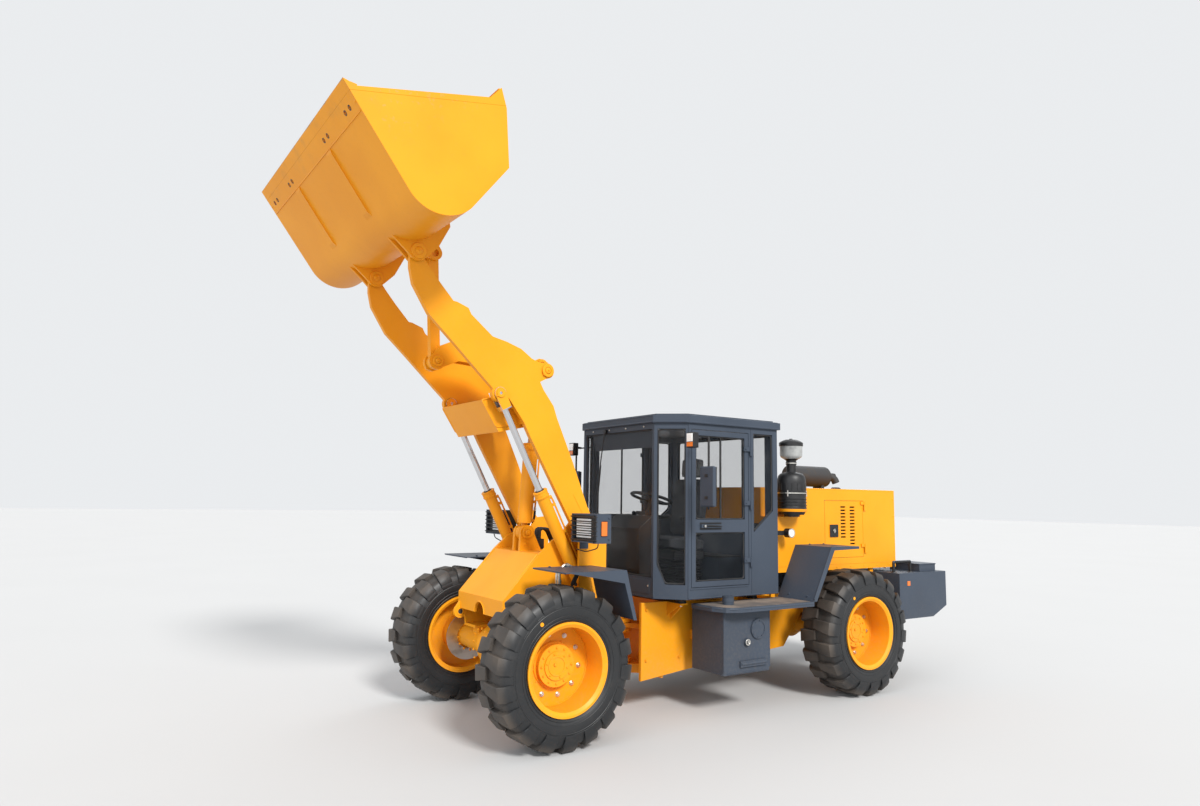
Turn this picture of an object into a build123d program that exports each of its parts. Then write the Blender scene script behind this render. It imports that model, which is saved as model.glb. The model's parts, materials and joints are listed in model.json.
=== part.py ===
"""Compact wheel loader, bucket raised and curled back.

Millimetres. +X points forward, +Y to the machine's left, +Z up. The origin is on the
ground, below the middle of the whole machine's bounding box.
"""
import os
from math import atan2, cos, degrees, hypot, pi, radians, sin

from build123d import *

os.makedirs("parts", exist_ok=True)

# ---------------------------------------------------------------- driving dimensions
FRONT_AXLE_X = 1470.0        # puts the origin below the middle of the bounding box
WHEELBASE = 3303.0
AXLE_Z = 575.0
REAR_AXLE_X = FRONT_AXLE_X - WHEELBASE
STEER_X = FRONT_AXLE_X - 1200.0   # the articulation pivot

# running fits and gaps
PIN_CLEAR = 0.05             # radial, pin in its bore
SEAT_GAP = 0.3               # between pieces that sit against each other
SIDE_CLEAR = 8.0             # between a moving plate and its neighbour

# wheels
TRACK = 1764.0
TYRE_R = 575.0               # over the lugs
LUG_DEPTH = 34.0
TYRE_HALF_W = 196.0
TREAD_HALF_W = 168.0
LUG_COUNT = 18
LUG_SLANT = 9.0
BEAD_R = 305.0
RIM_HALF_W = 186.0
FLANGE_R = 330.0
RIM_SHEET = 14.0
HUB_FACE_IN = 165.0          # hub face, inboard of the rim's outer flange
HUB_R = 150.0
HUB_CAP_R = 102.0
DISC_T = 18.0
SPINDLE_R = 60.0
SPINDLE_GRIP = 90.0

# loader arms, side view, from the front axle's centre line on the ground
ARM_Y = 462.5                # middle of each arm plate
ARM_T = 45.0
BOOM_PIVOT = (FRONT_AXLE_X - 537.0, 1480.0)
BUCKET_PIN = (FRONT_AXLE_X + 1030.0, 3562.0)
LIFT_EYE = (FRONT_AXLE_X + 320.0, 2572.0)
LIFT_BASE = (FRONT_AXLE_X - 545.0, 930.0)
TILT_BASE = (FRONT_AXLE_X - 190.0, 1487.0)
TILT_EYE = (FRONT_AXLE_X - 290.0, 2905.0)
ROCKER_PIN = (FRONT_AXLE_X - 101.0, 2790.0)
LINK_LOW = (FRONT_AXLE_X + 665.0, 2841.0)
LINK_TOP = (FRONT_AXLE_X + 718.0, 3720.0)
PIN_R = 32.0
BOSS_R = 62.0

# cylinders
LIFT_BARREL_R, LIFT_BARREL_L, LIFT_ROD_R = 50.0, 1018.0, 26.0
TILT_BARREL_R, TILT_BARREL_L, TILT_ROD_R = 62.0, 748.0, 32.0
EYE_T = 60.0

# bucket
BUCKET_W = 2354.0
BUCKET_TILT = 53.3
SHELL_T = 14.0
SIDE_T = 16.0
FLOOR_DROP = 158.0           # floor below the bucket pin
EDGE_T = 30.0
EDGE_L = 215.0

# front frame
FRAME_IN = 380.0             # inner tower plates, inside face
FRAME_T = 25.0
TOWER_OUT = 527.0            # outer tower plates, inside face
NOSE_X = FRONT_AXLE_X + 197.0

# rear frame
RAIL_Y, RAIL_T = 395.0, 25.0
RAIL_LOW, RAIL_TOP = 300.0, 900.0
REAR_NOSE_X = FRONT_AXLE_X - 1115.0
REAR_NOSE_END = FRONT_AXLE_X - 1560.0

# cab
CAB_HALF = 760.0
CAB_FRONT = REAR_AXLE_X + 2163.0
CAB_CORNER = REAR_AXLE_X + 1953.0    # where the chamfered corner meets the side
CAB_REAR = REAR_AXLE_X + 890.0
CAB_FRONT_HALF = 553.0
CAB_LOW, CAB_TOP = 950.0, 2435.0
POST = 60.0
WALL = 40.0
ROOF_TOP = CAB_TOP + 82.0
ROOF_OVER = 22.0
DOOR_REAR = REAR_AXLE_X + 1253.0
DOOR_LOW, DOOR_TOP = CAB_LOW + 95.0, CAB_TOP - 50.0
GLASS_T = 8.0
WAIST = 1560.0

# hood and rear
HOOD_HALF = 640.0
HOOD_T = 12.0
HOOD_FRONT = CAB_REAR - 25.0
HOOD_REAR = REAR_AXLE_X - 982.0
HOOD_LOW, HOOD_TOP = 1120.0, 1911.0
HOOD_DOOR = (REAR_AXLE_X - 467.0, REAR_AXLE_X + 113.0, 1235.0, 1800.0)
CW_HALF = 900.0
CW_FRONT, CW_REAR = REAR_AXLE_X - 682.0, REAR_AXLE_X - 1460.0
CW_LOW, CW_TOP = 628.0, 1080.0

# side gear
STEP_OUT, STEP_IN = 1075.0, 655.0
STEP_TOP, STEP_T = 905.0, 40.0
TANK_IN, TANK_OUT = 547.0, 950.0
TANK_FRONT, TANK_REAR = REAR_AXLE_X + 1728.0, REAR_AXLE_X + 1193.0
TANK_LOW = 345.0
FENDER_IN, FENDER_T = 600.0, 8.0
FENDER_FOOT = REAR_AXLE_X + 772.0    # rear end of the steps, where the rear fenders start


# ---------------------------------------------------------------- shape helpers
def block(x0, x1, y0, y1, z0, z1):
    """Box between two corners."""
    size = (abs(x1 - x0), abs(y1 - y0), abs(z1 - z0))
    return Pos((x0 + x1) / 2, (y0 + y1) / 2, (z0 + z1) / 2) * Box(*size)


def plate(points, y0, y1):
    """Side-view polygon (x, z) given a thickness along Y."""
    face = Face(Wire.make_polygon([Vector(x, y0, z) for x, z in points], close=True))
    return Solid.extrude(face, Vector(0, y1 - y0, 0))


def slab(points, z0, z1):
    """Plan-view polygon (x, y) given a thickness along Z."""
    face = Face(Wire.make_polygon([Vector(x, y, z0) for x, y in points], close=True))
    return Solid.extrude(face, Vector(0, 0, z1 - z0))


def wall_x(points, x0, x1):
    """Front-view polygon (y, z) given a thickness along X."""
    face = Face(Wire.make_polygon([Vector(x0, y, z) for y, z in points], close=True))
    return Solid.extrude(face, Vector(x1 - x0, 0, 0))


def bar(start, end, radius):
    """Round bar between two points."""
    run = Vector(*end) - Vector(*start)
    return Solid.make_cylinder(radius, run.length, Plane(origin=start, z_dir=run.normalized()))


def pin_y(at, radius, y0, y1):
    """Round bar along Y at a side-view point (x, z)."""
    return bar((at[0], min(y0, y1), at[1]), (at[0], max(y0, y1), at[1]), radius)


def about(point, centre, angle):
    """Side-view point turned about a centre, counter-clockwise in degrees."""
    dx, dz = point[0] - centre[0], point[1] - centre[1]
    c, s = cos(radians(angle)), sin(radians(angle))
    return (centre[0] + dx * c - dz * s, centre[1] + dx * s + dz * c)


def both(shape):
    """The shape and its mirror image on the other side of the machine."""
    return [shape, mirror(shape, about=Plane.XZ)]


def fuse(*shapes):
    """One solid from many."""
    flat = []
    for shape in shapes:
        flat += shape if isinstance(shape, list) else [shape]
    first, *rest = flat
    return first.fuse(*rest).clean() if rest else first


def cut(shape, *tools):
    """The shape with the tools taken away."""
    flat = []
    for tool in tools:
        flat += tool if isinstance(tool, list) else [tool]
    return shape.cut(*flat)


def save(name, *shapes):
    """Write one node."""
    flat = []
    for shape in shapes:
        flat += shape if isinstance(shape, list) else [shape]
    solids = [s for shape in flat for s in shape.solids()]
    export_step(Compound(solids) if len(solids) > 1 else solids[0], f"parts/{name}.step")


# ---------------------------------------------------------------- wheels
def turned(profile):
    """Solid of revolution about Y from (y, radius) points."""
    face = Face(Wire.make_polygon([Vector(r, y, 0) for y, r in profile], close=True))
    return Solid.revolve(face, 360, Axis.Y)


def facet_ring(profile, count):
    """Ring about Y with flat facets, each at its (y, radius) distance in the middle."""
    out = 1 / cos(pi / count)
    rings = []
    for i in range(count + 1):
        turn = 2 * pi * (i % count + 0.5) / count
        rings.append([Vector(r * out * sin(turn), y, r * out * cos(turn)) for y, r in profile])
    faces = []
    for near, far in zip(rings, rings[1:]):
        for j in range(len(profile)):
            k = (j + 1) % len(profile)
            faces.append(Face(Wire.make_polygon([near[j], near[k], far[k], far[j]], close=True)))
    return Solid(Shell(faces))


def tyre():
    """Tyre about the origin, staggered lugs from the centre line to each shoulder."""
    root = TYRE_R - LUG_DEPTH
    bead_y = RIM_HALF_W - RIM_SHEET - 2
    half = [(bead_y, BEAD_R + SEAT_GAP), (bead_y, FLANGE_R + 2), (TYRE_HALF_W, 0.5 * (FLANGE_R + root) - 5),
            (TREAD_HALF_W - 12, root)]
    body = facet_ring(half + [(-y, r) for y, r in reversed(half)], LUG_COUNT)
    width = 0.56 * 2 * pi * TYRE_R / LUG_COUNT
    reach = width / 2 * cos(radians(LUG_SLANT)) + TREAD_HALF_W * sin(radians(LUG_SLANT))
    crown = (TYRE_R ** 2 - reach ** 2) ** 0.5
    section = [(0, root - 20), (0, crown), (TREAD_HALF_W, crown), (TYRE_HALF_W + 2, root - 40),
               (TREAD_HALF_W - 30, root - 20)]
    lug = wall_x(section, -width / 2, width / 2).rotate(Axis.Z, LUG_SLANT)
    lugs = []
    for i in range(LUG_COUNT):
        left = lug.rotate(Axis.Y, 360 * i / LUG_COUNT)
        right = mirror(lug, about=Plane.XZ).rotate(Axis.Y, 360 * (i + 0.5) / LUG_COUNT)
        lugs += [left, right]
    return body.fuse(*lugs)


def rim():
    """Rim, disc and hub about the origin, outer side towards +Y."""
    face = RIM_HALF_W - HUB_FACE_IN
    disc_y = face - 62
    inner = BEAD_R - RIM_SHEET
    lip = RIM_HALF_W - RIM_SHEET
    barrel = turned([(-RIM_HALF_W, FLANGE_R), (-lip, FLANGE_R), (-lip, BEAD_R), (lip, BEAD_R), (lip, FLANGE_R),
                     (RIM_HALF_W, FLANGE_R), (RIM_HALF_W, FLANGE_R - 16), (lip, inner), (-lip, inner),
                     (-RIM_HALF_W, FLANGE_R - 16)])
    disc = pin_y((0, 0), inner + 4, disc_y - DISC_T, disc_y)
    hub = pin_y((0, 0), HUB_R, disc_y - 90, face - 10)
    cap = pin_y((0, 0), HUB_CAP_R, face - 12, face)
    bore = pin_y((0, 0), SPINDLE_R + PIN_CLEAR, disc_y - 91, disc_y - 91 + SPINDLE_GRIP + 8)
    return cut(fuse(barrel, disc, hub, cap), bore)


WHEELS = [("front_left", FRONT_AXLE_X, 1), ("front_right", FRONT_AXLE_X, -1),
          ("rear_left", REAR_AXLE_X, 1), ("rear_right", REAR_AXLE_X, -1)]   # name, x, side
tyre_solid, rim_solid = tyre(), rim()
for wheel, x, side in WHEELS:
    for kind, shape in (("tyre", tyre_solid), ("rim", rim_solid)):
        turned_out = shape if side > 0 else mirror(shape, about=Plane.XZ)
        save(f"{kind}_{wheel}", turned_out.moved(Location((x, side * TRACK / 2, AXLE_Z))))

SPINDLE_IN = TRACK / 2 + RIM_HALF_W - HUB_FACE_IN - 62 - 91   # where the hub's bore begins


def axle(x, trunnion=False):
    """Drive axle: bowl, tapered arms and spindles, with saddle pads or a trunnion along X."""
    half = [(0, 175), (95, 165), (190, 105), (SPINDLE_IN - 60, 88), (SPINDLE_IN - 60, 130), (SPINDLE_IN - 12, 130),
            (SPINDLE_IN - 12, SPINDLE_R), (SPINDLE_IN + SPINDLE_GRIP, SPINDLE_R)]
    outline = [(-y, r) for y, r in reversed(half[1:])] + half[1:]
    ends = [(SPINDLE_IN + SPINDLE_GRIP, 0), (-SPINDLE_IN - SPINDLE_GRIP, 0)]
    body = turned(outline + ends).moved(Location((x, 0, AXLE_Z)))
    if trunnion:
        return fuse(body, bar((x - CRADLE_X - 20, 0, AXLE_Z), (x + CRADLE_X + 40, 0, AXLE_Z), TRUNNION_R))
    nose = bar((x, 0, AXLE_Z), (x - 250, 0, AXLE_Z), TRUNNION_R)
    pads = [block(x - 75, x + 75, s * 300 - 55, s * 300 + 55, AXLE_Z, PAD_TOP) for s in (-1, 1)]
    return fuse(body, nose, *pads)


PAD_TOP = AXLE_Z + 125
TRUNNION_R = 78.0
CRADLE_X, CRADLE_T = 200.0, 28.0   # rear axle's cradle plates, fore and aft of it
save("front_axle", axle(FRONT_AXLE_X))
save("rear_axle", axle(REAR_AXLE_X, trunnion=True))


# ---------------------------------------------------------------- front frame
F = FRONT_AXLE_X
TOWER_REAR = F - 655.0
TONGUE = [(225, 255), (345, 375), (610, 640), (690, 720)]   # low and high face of each pivot plate
PIVOT_R, PIVOT_LUG_R = 45.0, 95.0
TOWER_LOW = 850.0


def tower_side():
    """Inner plate of the left tower with its nose, in side view."""
    outline = [(NOSE_X, 850), (NOSE_X, 985), (F - 117, 1335), (F - 235, 1440), (F - 300, 1470), (F - 400, 1590),
               (BOOM_PIVOT[0] - 70, 1610), (TOWER_REAR, 1560), (TOWER_REAR, TONGUE[0][0]), (F - 520, TONGUE[0][0]),
               (F - 260, 520), (F - 190, PAD_TOP), (F + 130, PAD_TOP), (F + 150, 850)]
    return plate(outline, FRAME_IN, FRAME_IN + FRAME_T)


def front_frame():
    """Front frame: towers, sloped nose, deck, tilt ears and the pivot tongue."""
    inner = FRAME_IN
    outer_plate = plate([(F - 395, TOWER_LOW), (F - 395, 1450), (BOOM_PIVOT[0] + 95, 1575),
                         (BOOM_PIVOT[0], 1610), (BOOM_PIVOT[0] - 95, 1575), (TOWER_REAR, 1450),
                         (TOWER_REAR, TOWER_LOW)], TOWER_OUT, TOWER_OUT + FRAME_T)
    back = block(TOWER_REAR, TOWER_REAR + 20, inner, TOWER_OUT + FRAME_T, TOWER_LOW, 1450)
    foot = block(TOWER_REAR, F - 395, inner, TOWER_OUT + FRAME_T, TOWER_LOW - 20, TOWER_LOW)
    pins = []
    for at in (BOOM_PIVOT, LIFT_BASE):
        pins.append(pin_y(at, PIN_R, inner + 5, TOWER_OUT + FRAME_T + 14))
        pins.append(pin_y(at, PIN_R + 18, TOWER_OUT + FRAME_T, TOWER_OUT + FRAME_T + 8))
    sides = [both(s) for s in (tower_side(), outer_plate, back, foot, *pins)]
    slope = plate([(NOSE_X, 985), (F - 117, 1335), (F - 133, 1321), (NOSE_X - 20, 976)], -inner, inner)
    nose = block(NOSE_X - 20, NOSE_X, -inner, inner, 850, 985)
    nose = cut(nose, bar((NOSE_X - 30, 0, 850), (NOSE_X + 10, 0, 850), 85))
    deck = block(TOWER_REAR, F - 125, -inner, inner, 1318, 1338)
    belly = both(block(F - 190, F + 130, 200, inner + 1, PAD_TOP, PAD_TOP + 20))
    rear = block(TOWER_REAR, TOWER_REAR + 25, -inner, inner, TONGUE[0][0], 1338)
    lugs = []
    for z0, z1 in TONGUE:
        wedge = slab([(TOWER_REAR + 25, -300), (TOWER_REAR + 25, 300), (STEER_X, PIVOT_LUG_R),
                      (STEER_X, -PIVOT_LUG_R)], z0, z1)
        eye = bar((STEER_X, 0, z0), (STEER_X, 0, z1), PIVOT_LUG_R)
        hole = bar((STEER_X, 0, z0 - 1), (STEER_X, 0, z1 + 1), PIVOT_R + PIN_CLEAR)
        lugs.append(cut(fuse(wedge, eye), hole))
    ears = []
    for s in (-1, 1):
        near, far = s * (EYE_T / 2 + SIDE_CLEAR), s * (EYE_T / 2 + SIDE_CLEAR + 28)
        cheek = plate([(F - 330, 1330), (TILT_BASE[0] - 62, TILT_BASE[1]), (TILT_BASE[0] + 62, TILT_BASE[1]),
                       (F - 120, 1330)], near, far)
        ears += [cheek, pin_y(TILT_BASE, 64, near, far)]
    ears.append(pin_y(TILT_BASE, PIN_R, -EYE_T / 2 - SIDE_CLEAR - 34, EYE_T / 2 + SIDE_CLEAR + 34))
    return fuse(*sides, slope, nose, deck, *belly, rear, *lugs, *ears)


save("front_frame", front_frame())

LAMP = dict(front=F - 300, back=F - 430, inner=580.0, outer=940.0, low=1440.0, top=1660.0)


def headlights():
    """Lamp boxes on their brackets beside the towers."""
    box = block(LAMP["back"], LAMP["front"], LAMP["inner"], LAMP["outer"], LAMP["low"], LAMP["top"])
    hollow = block(LAMP["front"] - 28, LAMP["front"] + 1, LAMP["inner"] + 12, LAMP["outer"] - 12,
                   LAMP["low"] + 12, LAMP["top"] - 12)
    arm = block(F - 420, F - 396, TOWER_OUT + FRAME_T + SEAT_GAP, LAMP["inner"] + 1, 1452, 1500)
    foot = block(F - 470, F - 396, TOWER_OUT + FRAME_T + SEAT_GAP, TOWER_OUT + FRAME_T + 14, 1380, 1440)
    web = block(F - 420, F - 396, TOWER_OUT + FRAME_T + SEAT_GAP, TOWER_OUT + FRAME_T + 14, 1430, 1460)
    return both(fuse(cut(box, hollow), arm, foot, web))


save("headlights", headlights())

FRONT_FENDER_TOP = 1250.0


def front_fenders():
    """Folded fender over each front wheel, carried by the tower."""
    inner, outer, t = TOWER_OUT + FRAME_T + SEAT_GAP, STEP_OUT, FENDER_T
    z = FRONT_FENDER_TOP
    top = block(F - 486, F + 48, inner + 40, outer, z - t, z)
    fall = plate([(F - 486, z), (F - 583, 880), (F - 583 + t, 880), (F - 486 + t, z - t)], inner + 40, outer)
    skirt = plate([(F + 48, z), (F - 486, z), (F - 583, 880), (F - 555, 880), (F - 470, z - 96)],
                  outer - t, outer)
    bracket = block(F - 480, F - 410, inner, inner + 60, z - t - 60, z - t + 1)
    return both(fuse(top, fall, skirt, bracket))


save("front_fenders", front_fenders())


# ---------------------------------------------------------------- loader arms
def arm():
    """One arm plate, in side view, with its lift ear, hump and stop."""
    lower = [(1082, 3530), (1078, 3440), (1050, 3322), (921, 3116), (730, 2939), (471, 2694), (380, 2610), (320, 2510),
             (237, 2542), (98, 2363), (39, 2254), (-114, 1994), (-270, 1728), (-440, 1440)]
    upper = [(-628, 1515), (-528, 1659), (-363, 2060), (-203, 2412), (-167, 2510), (-72, 2632), (-38, 2694),
             (-101, 2728), (-101, 2852), (-25, 2851), (41, 2873), (139, 2940), (267, 2982), (392, 3009),
             (578, 3158), (602, 3203), (698, 3237), (727, 3239), (847, 3371), (930, 3470), (978, 3532)]
    y0, y1 = ARM_Y - ARM_T / 2, ARM_Y + ARM_T / 2
    body = plate([(F + x, z) for x, z in lower + upper], y0, y1)
    eyes = [pin_y(at, r, y0, y1) for at, r in ((BUCKET_PIN, 60), (BOOM_PIVOT, 92), (LIFT_EYE, 62),
                                               (ROCKER_PIN, 62))]
    holes = [pin_y(at, PIN_R + PIN_CLEAR, y0 - 1, y1 + 1) for at in (BUCKET_PIN, BOOM_PIVOT, LIFT_EYE)]
    return cut(fuse(body, *eyes), *holes)


def boom():
    """Both arms, the box between them and the rocker's cross pin."""
    inner = ARM_Y - ARM_T / 2
    box = plate([(F + 420, 2524), (F + 287, 2320), (F - 84, 2374), (F + 97, 2600)], -FRAME_IN, FRAME_IN)
    flange = plate([(F + 262, 2283), (F + 287, 2320), (F - 84, 2374), (F - 92, 2361)], -FRAME_IN, FRAME_IN)
    ends = plate([(F + 90, 2352), (F - 84, 2374), (F + 60, 2562), (F + 90, 2560)], -inner, inner)
    cross = pin_y(ROCKER_PIN, PIN_R, -inner, inner)
    heads = [pin_y(ROCKER_PIN, PIN_R + 8, inner + ARM_T, inner + ARM_T + 8)]
    collars = [pin_y(ROCKER_PIN, BOSS_R - 8, inner - 40, inner)]
    return fuse(*[both(s) for s in (arm(), *heads, *collars)], box, flange, ends, cross)


save("boom", boom())

CHEEK_IN, CHEEK_T = EYE_T / 2 + SIDE_CLEAR, 30.0


def rocker():
    """Two bowed cheeks, each with its own hub, forked at the tilt eye and at the link."""
    cheeks = []
    outline = [(665, 2776), (480, 2862), (250, 2850), (60, 2745), (-101, 2705), (-200, 2790), (-340, 2862),
               (-345, 2940), (-265, 2965), (-101, 2885), (60, 2950), (250, 3050), (470, 3052), (640, 2972),
               (728, 2860), (715, 2790)]
    for s in (-1, 1):
        near, far = s * CHEEK_IN, s * (CHEEK_IN + CHEEK_T)
        cheeks += [plate([(F + x, z) for x, z in outline], near, far), pin_y(LINK_LOW, 66, near, far),
                   pin_y(ROCKER_PIN, BOSS_R + 18, near, far + s * 14),
                   pin_y(TILT_EYE, 58, near, far), pin_y(LINK_LOW, PIN_R + 14, far, far + s * 8)]
    pin = pin_y(LINK_LOW, PIN_R, -CHEEK_IN - CHEEK_T - 10, CHEEK_IN + CHEEK_T + 10)
    web = plate([(F + 60, 2880), (F + 470, 2980), (F + 470, 2950), (F + 60, 2850)], -CHEEK_IN - 1, CHEEK_IN + 1)
    bore = pin_y(ROCKER_PIN, PIN_R + PIN_CLEAR, -CHEEK_IN - CHEEK_T - 15, CHEEK_IN + CHEEK_T + 15)
    eye = pin_y(TILT_EYE, PIN_R, -CHEEK_IN - CHEEK_T - 1, CHEEK_IN + CHEEK_T + 1)
    return cut(fuse(*cheeks, pin, web), bore, eye)


save("rocker", rocker())


def link():
    """Flat link bar from the rocker up to the bucket; its upper eye stays open."""
    half = EYE_T / 2
    dx, dz = LINK_TOP[0] - LINK_LOW[0], LINK_TOP[1] - LINK_LOW[1]
    n = hypot(dx, dz)
    across = (-dz / n * 40, dx / n * 40)
    body = plate([(LINK_LOW[0] + across[0], LINK_LOW[1] + across[1]),
                  (LINK_TOP[0] + across[0], LINK_TOP[1] + across[1]),
                  (LINK_TOP[0] - across[0], LINK_TOP[1] - across[1]),
                  (LINK_LOW[0] - across[0], LINK_LOW[1] - across[1])], -half, half)
    eyes = [pin_y(LINK_LOW, 54, -half, half), pin_y(LINK_TOP, 50, -half, half)]
    return cut(fuse(body, *eyes), pin_y(LINK_LOW, PIN_R + PIN_CLEAR, -half - 1, half + 1))


save("link", link())


# ---------------------------------------------------------------- bucket
# Side profile with the floor level, from the bucket pin: x forward, z up.
TIP, HEEL, KNEE, BACK, SPILL = (1114, -158), (347, -158), (55, 180), (174, 608), (539, 838)
HEEL_ARC = (125, -62)        # a point on the curve from heel to knee
CREST = (677, 886)


def bucket_face(points, arc=None):
    """Closed side profile from points, with one three-point arc from HEEL to KNEE."""
    at = [Vector(x, 0, z) for x, z in points]
    edges = []
    for i, (a, b) in enumerate(zip(at, at[1:] + at[:1])):
        if arc is not None and i == arc[0]:
            edges.append(Edge.make_three_point_arc(a, Vector(arc[1][0], 0, arc[1][1]), b))
        else:
            edges.append(Edge.make_line(a, b))
    return Face(Wire(edges))


def thick(face, y0, y1):
    """A side-view face given its width along Y."""
    return Solid.extrude(face.moved(Location((0, y0, 0))), Vector(0, y1 - y0, 0))


def bucket():
    """Shell, side plates, cutting edge, wear strips and the pin brackets."""
    half, t = BUCKET_W / 2, SHELL_T
    outer = bucket_face([TIP, HEEL, KNEE, BACK, SPILL, CREST], (1, HEEL_ARC))
    inner = bucket_face([(1300, TIP[1] + t), (HEEL[0], HEEL[1] + t), (KNEE[0] + t, KNEE[1]), (174 + 12, 608 - 8),
                         (539 + 7, 838 - 16), (800, 910)], (1, (HEEL_ARC[0] + 10, HEEL_ARC[1] + 10)))
    shell = cut(thick(outer, -half + SIDE_T, half - SIDE_T), thick(inner, -half, half))
    side = bucket_face([(1051, -158), HEEL, KNEE, BACK, SPILL, CREST, (650, 760), (1051, -130)],
                       (1, HEEL_ARC))
    sides = both(thick(side, half - SIDE_T, half))
    strip = plate([(1075, -125), (1040, -158), (1010, -120), (1045, -95)], half - SIDE_T, half)
    edge = plate([(1114, -158), (1114 - EDGE_L, -158), (1114 - EDGE_L, -158 + EDGE_T), (1075, -158 + EDGE_T)],
                 -half, half)
    runners = [plate([(1114 - EDGE_L, -158), (HEEL[0] + 20, -158), (HEEL[0] + 60, -172),
                      (1114 - EDGE_L - 30, -172)], s * 430 - 50, s * 430 + 50) for s in (-1, 1)]
    brackets = []
    for s in (-1, 1):
        for near in (ARM_Y - ARM_T / 2 - SIDE_CLEAR - 24, ARM_Y + ARM_T / 2 + SIDE_CLEAR):
            y0, y1 = sorted((s * near, s * (near + 24)))
            web = plate([(-70, 20), (-50, 150), (40, 330), (100, 360), (120, -40), (330, -150), (60, -84),
                         (-20, -70)], y0, y1)
            brackets += [web, pin_y((0, 0), 72, y0, y1)]
        span = sorted((s * (ARM_Y - ARM_T / 2 - SIDE_CLEAR - 30), s * (ARM_Y + ARM_T / 2 + SIDE_CLEAR + 32)))
        brackets.append(pin_y((0, 0), PIN_R, *span))
        near, far = s * CHEEK_IN, s * (CHEEK_IN + 24)
        at = about((LINK_TOP[0] - BUCKET_PIN[0], LINK_TOP[1] - BUCKET_PIN[1]), (0, 0), -BUCKET_TILT)
        horn = plate([(at[0] - 40, at[1] - 45), (KNEE[0] + 6, KNEE[1]), (135, 415), (at[0] + 10, at[1] + 60)],
                     near, far)
        brackets.append(cut(fuse(horn, pin_y(at, 60, near, far)), pin_y(at, PIN_R, near, far)))
    void = thick(bucket_face([(1100, -158 + EDGE_T), (380, -158 + EDGE_T), (KNEE[0] + t, KNEE[1]), (174 + 12, 608 - 8),
                              (539 + 7, 838 - 16), (700, 860)], (1, (HEEL_ARC[0] + 30, HEEL_ARC[1] + 12))),
                 -half + SIDE_T, half - SIDE_T)
    body = fuse(shell, sides, edge, runners, strip, mirror(strip, about=Plane.XZ))
    body = fuse(body, [cut(b, void) for b in brackets])
    bolts = [bar((1114 - 150, y, -170), (1114 - 150, y, -100), EDGE_BOLT_R)
             for pair in EDGE_PAIRS for y in (pair - EDGE_BOLT_GAP / 2, pair + EDGE_BOLT_GAP / 2)]
    body = cut(body, *bolts)
    level = Location((BUCKET_PIN[0], 0, BUCKET_PIN[1]))
    return body.rotate(Axis.Y, -BUCKET_TILT).moved(level)


EDGE_BOLT_R, EDGE_BOLT_GAP = 11.0, 90.0
EDGE_PAIRS = (-1000.0, -500.0, 500.0, 1000.0)
save("bucket", bucket())


# ---------------------------------------------------------------- cylinders
def along(a, b, distance):
    """Side-view point on the line from a towards b."""
    n = hypot(b[0] - a[0], b[1] - a[1])
    return (a[0] + (b[0] - a[0]) * distance / n, a[1] + (b[1] - a[1]) * distance / n)


def on_y(point, y):
    """A side-view point in space."""
    return (point[0], y, point[1])


def cylinder_pair(base, eye, y, barrel_r, barrel_l, rod_r, back, fork=None):
    """Barrel with its base eye, and rod with its open eye or fork, free to slide back by the given travel."""
    half = EYE_T / 2
    gland = along(base, eye, barrel_l)
    foot = along(base, eye, BOSS_R + 16)
    barrel = fuse(bar(on_y(foot, y), on_y(gland, y), barrel_r), bar(on_y(base, y), on_y(foot, y), half - 2))
    head = bar(on_y(along(base, eye, barrel_l - 60), y), on_y(gland, y), barrel_r + 7)
    bore = bar(on_y(along(base, eye, BOSS_R + 60), y), on_y(along(base, eye, barrel_l + 1), y),
               rod_r + PIN_CLEAR)
    ring = pin_y(base, BOSS_R, y - half, y + half)
    barrel = cut(fuse(barrel, head, ring), bore, pin_y(base, PIN_R + PIN_CLEAR, y - half - 1, y + half + 1))
    length = hypot(eye[0] - base[0], eye[1] - base[1])
    start = along(base, eye, BOSS_R + 64 + back)
    if fork is None:
        rod = fuse(bar(on_y(start, y), on_y(along(base, eye, length - 20), y), rod_r),
                   pin_y(eye, 50, y - half, y + half))
        return barrel, rod
    neck = length - fork["reach"]
    rod = bar(on_y(start, y), on_y(along(base, eye, neck), y), rod_r)
    tines = []
    for s in (-1, 1):
        near = y + s * fork["gap"] / 2
        far = near + s * fork["tine"]
        tines += [plate(strip_between(along(base, eye, neck - 24), eye, 42), *sorted((near, far))),
                  pin_y(eye, 48, near, far), pin_y(eye, 26, far, far + s * 7)]
    yoke = plate(strip_between(along(base, eye, neck - 30), along(base, eye, neck + 6), 42),
                 y - fork["gap"] / 2 - fork["tine"], y + fork["gap"] / 2 + fork["tine"])
    return barrel, fuse(rod, yoke, *tines)


def strip_between(a, b, half_width):
    """Side-view rectangle along a line."""
    n = hypot(b[0] - a[0], b[1] - a[1])
    ax, az = -(b[1] - a[1]) / n * half_width, (b[0] - a[0]) / n * half_width
    return [(a[0] + ax, a[1] + az), (b[0] + ax, b[1] + az), (b[0] - ax, b[1] - az), (a[0] - ax, a[1] - az)]


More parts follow.
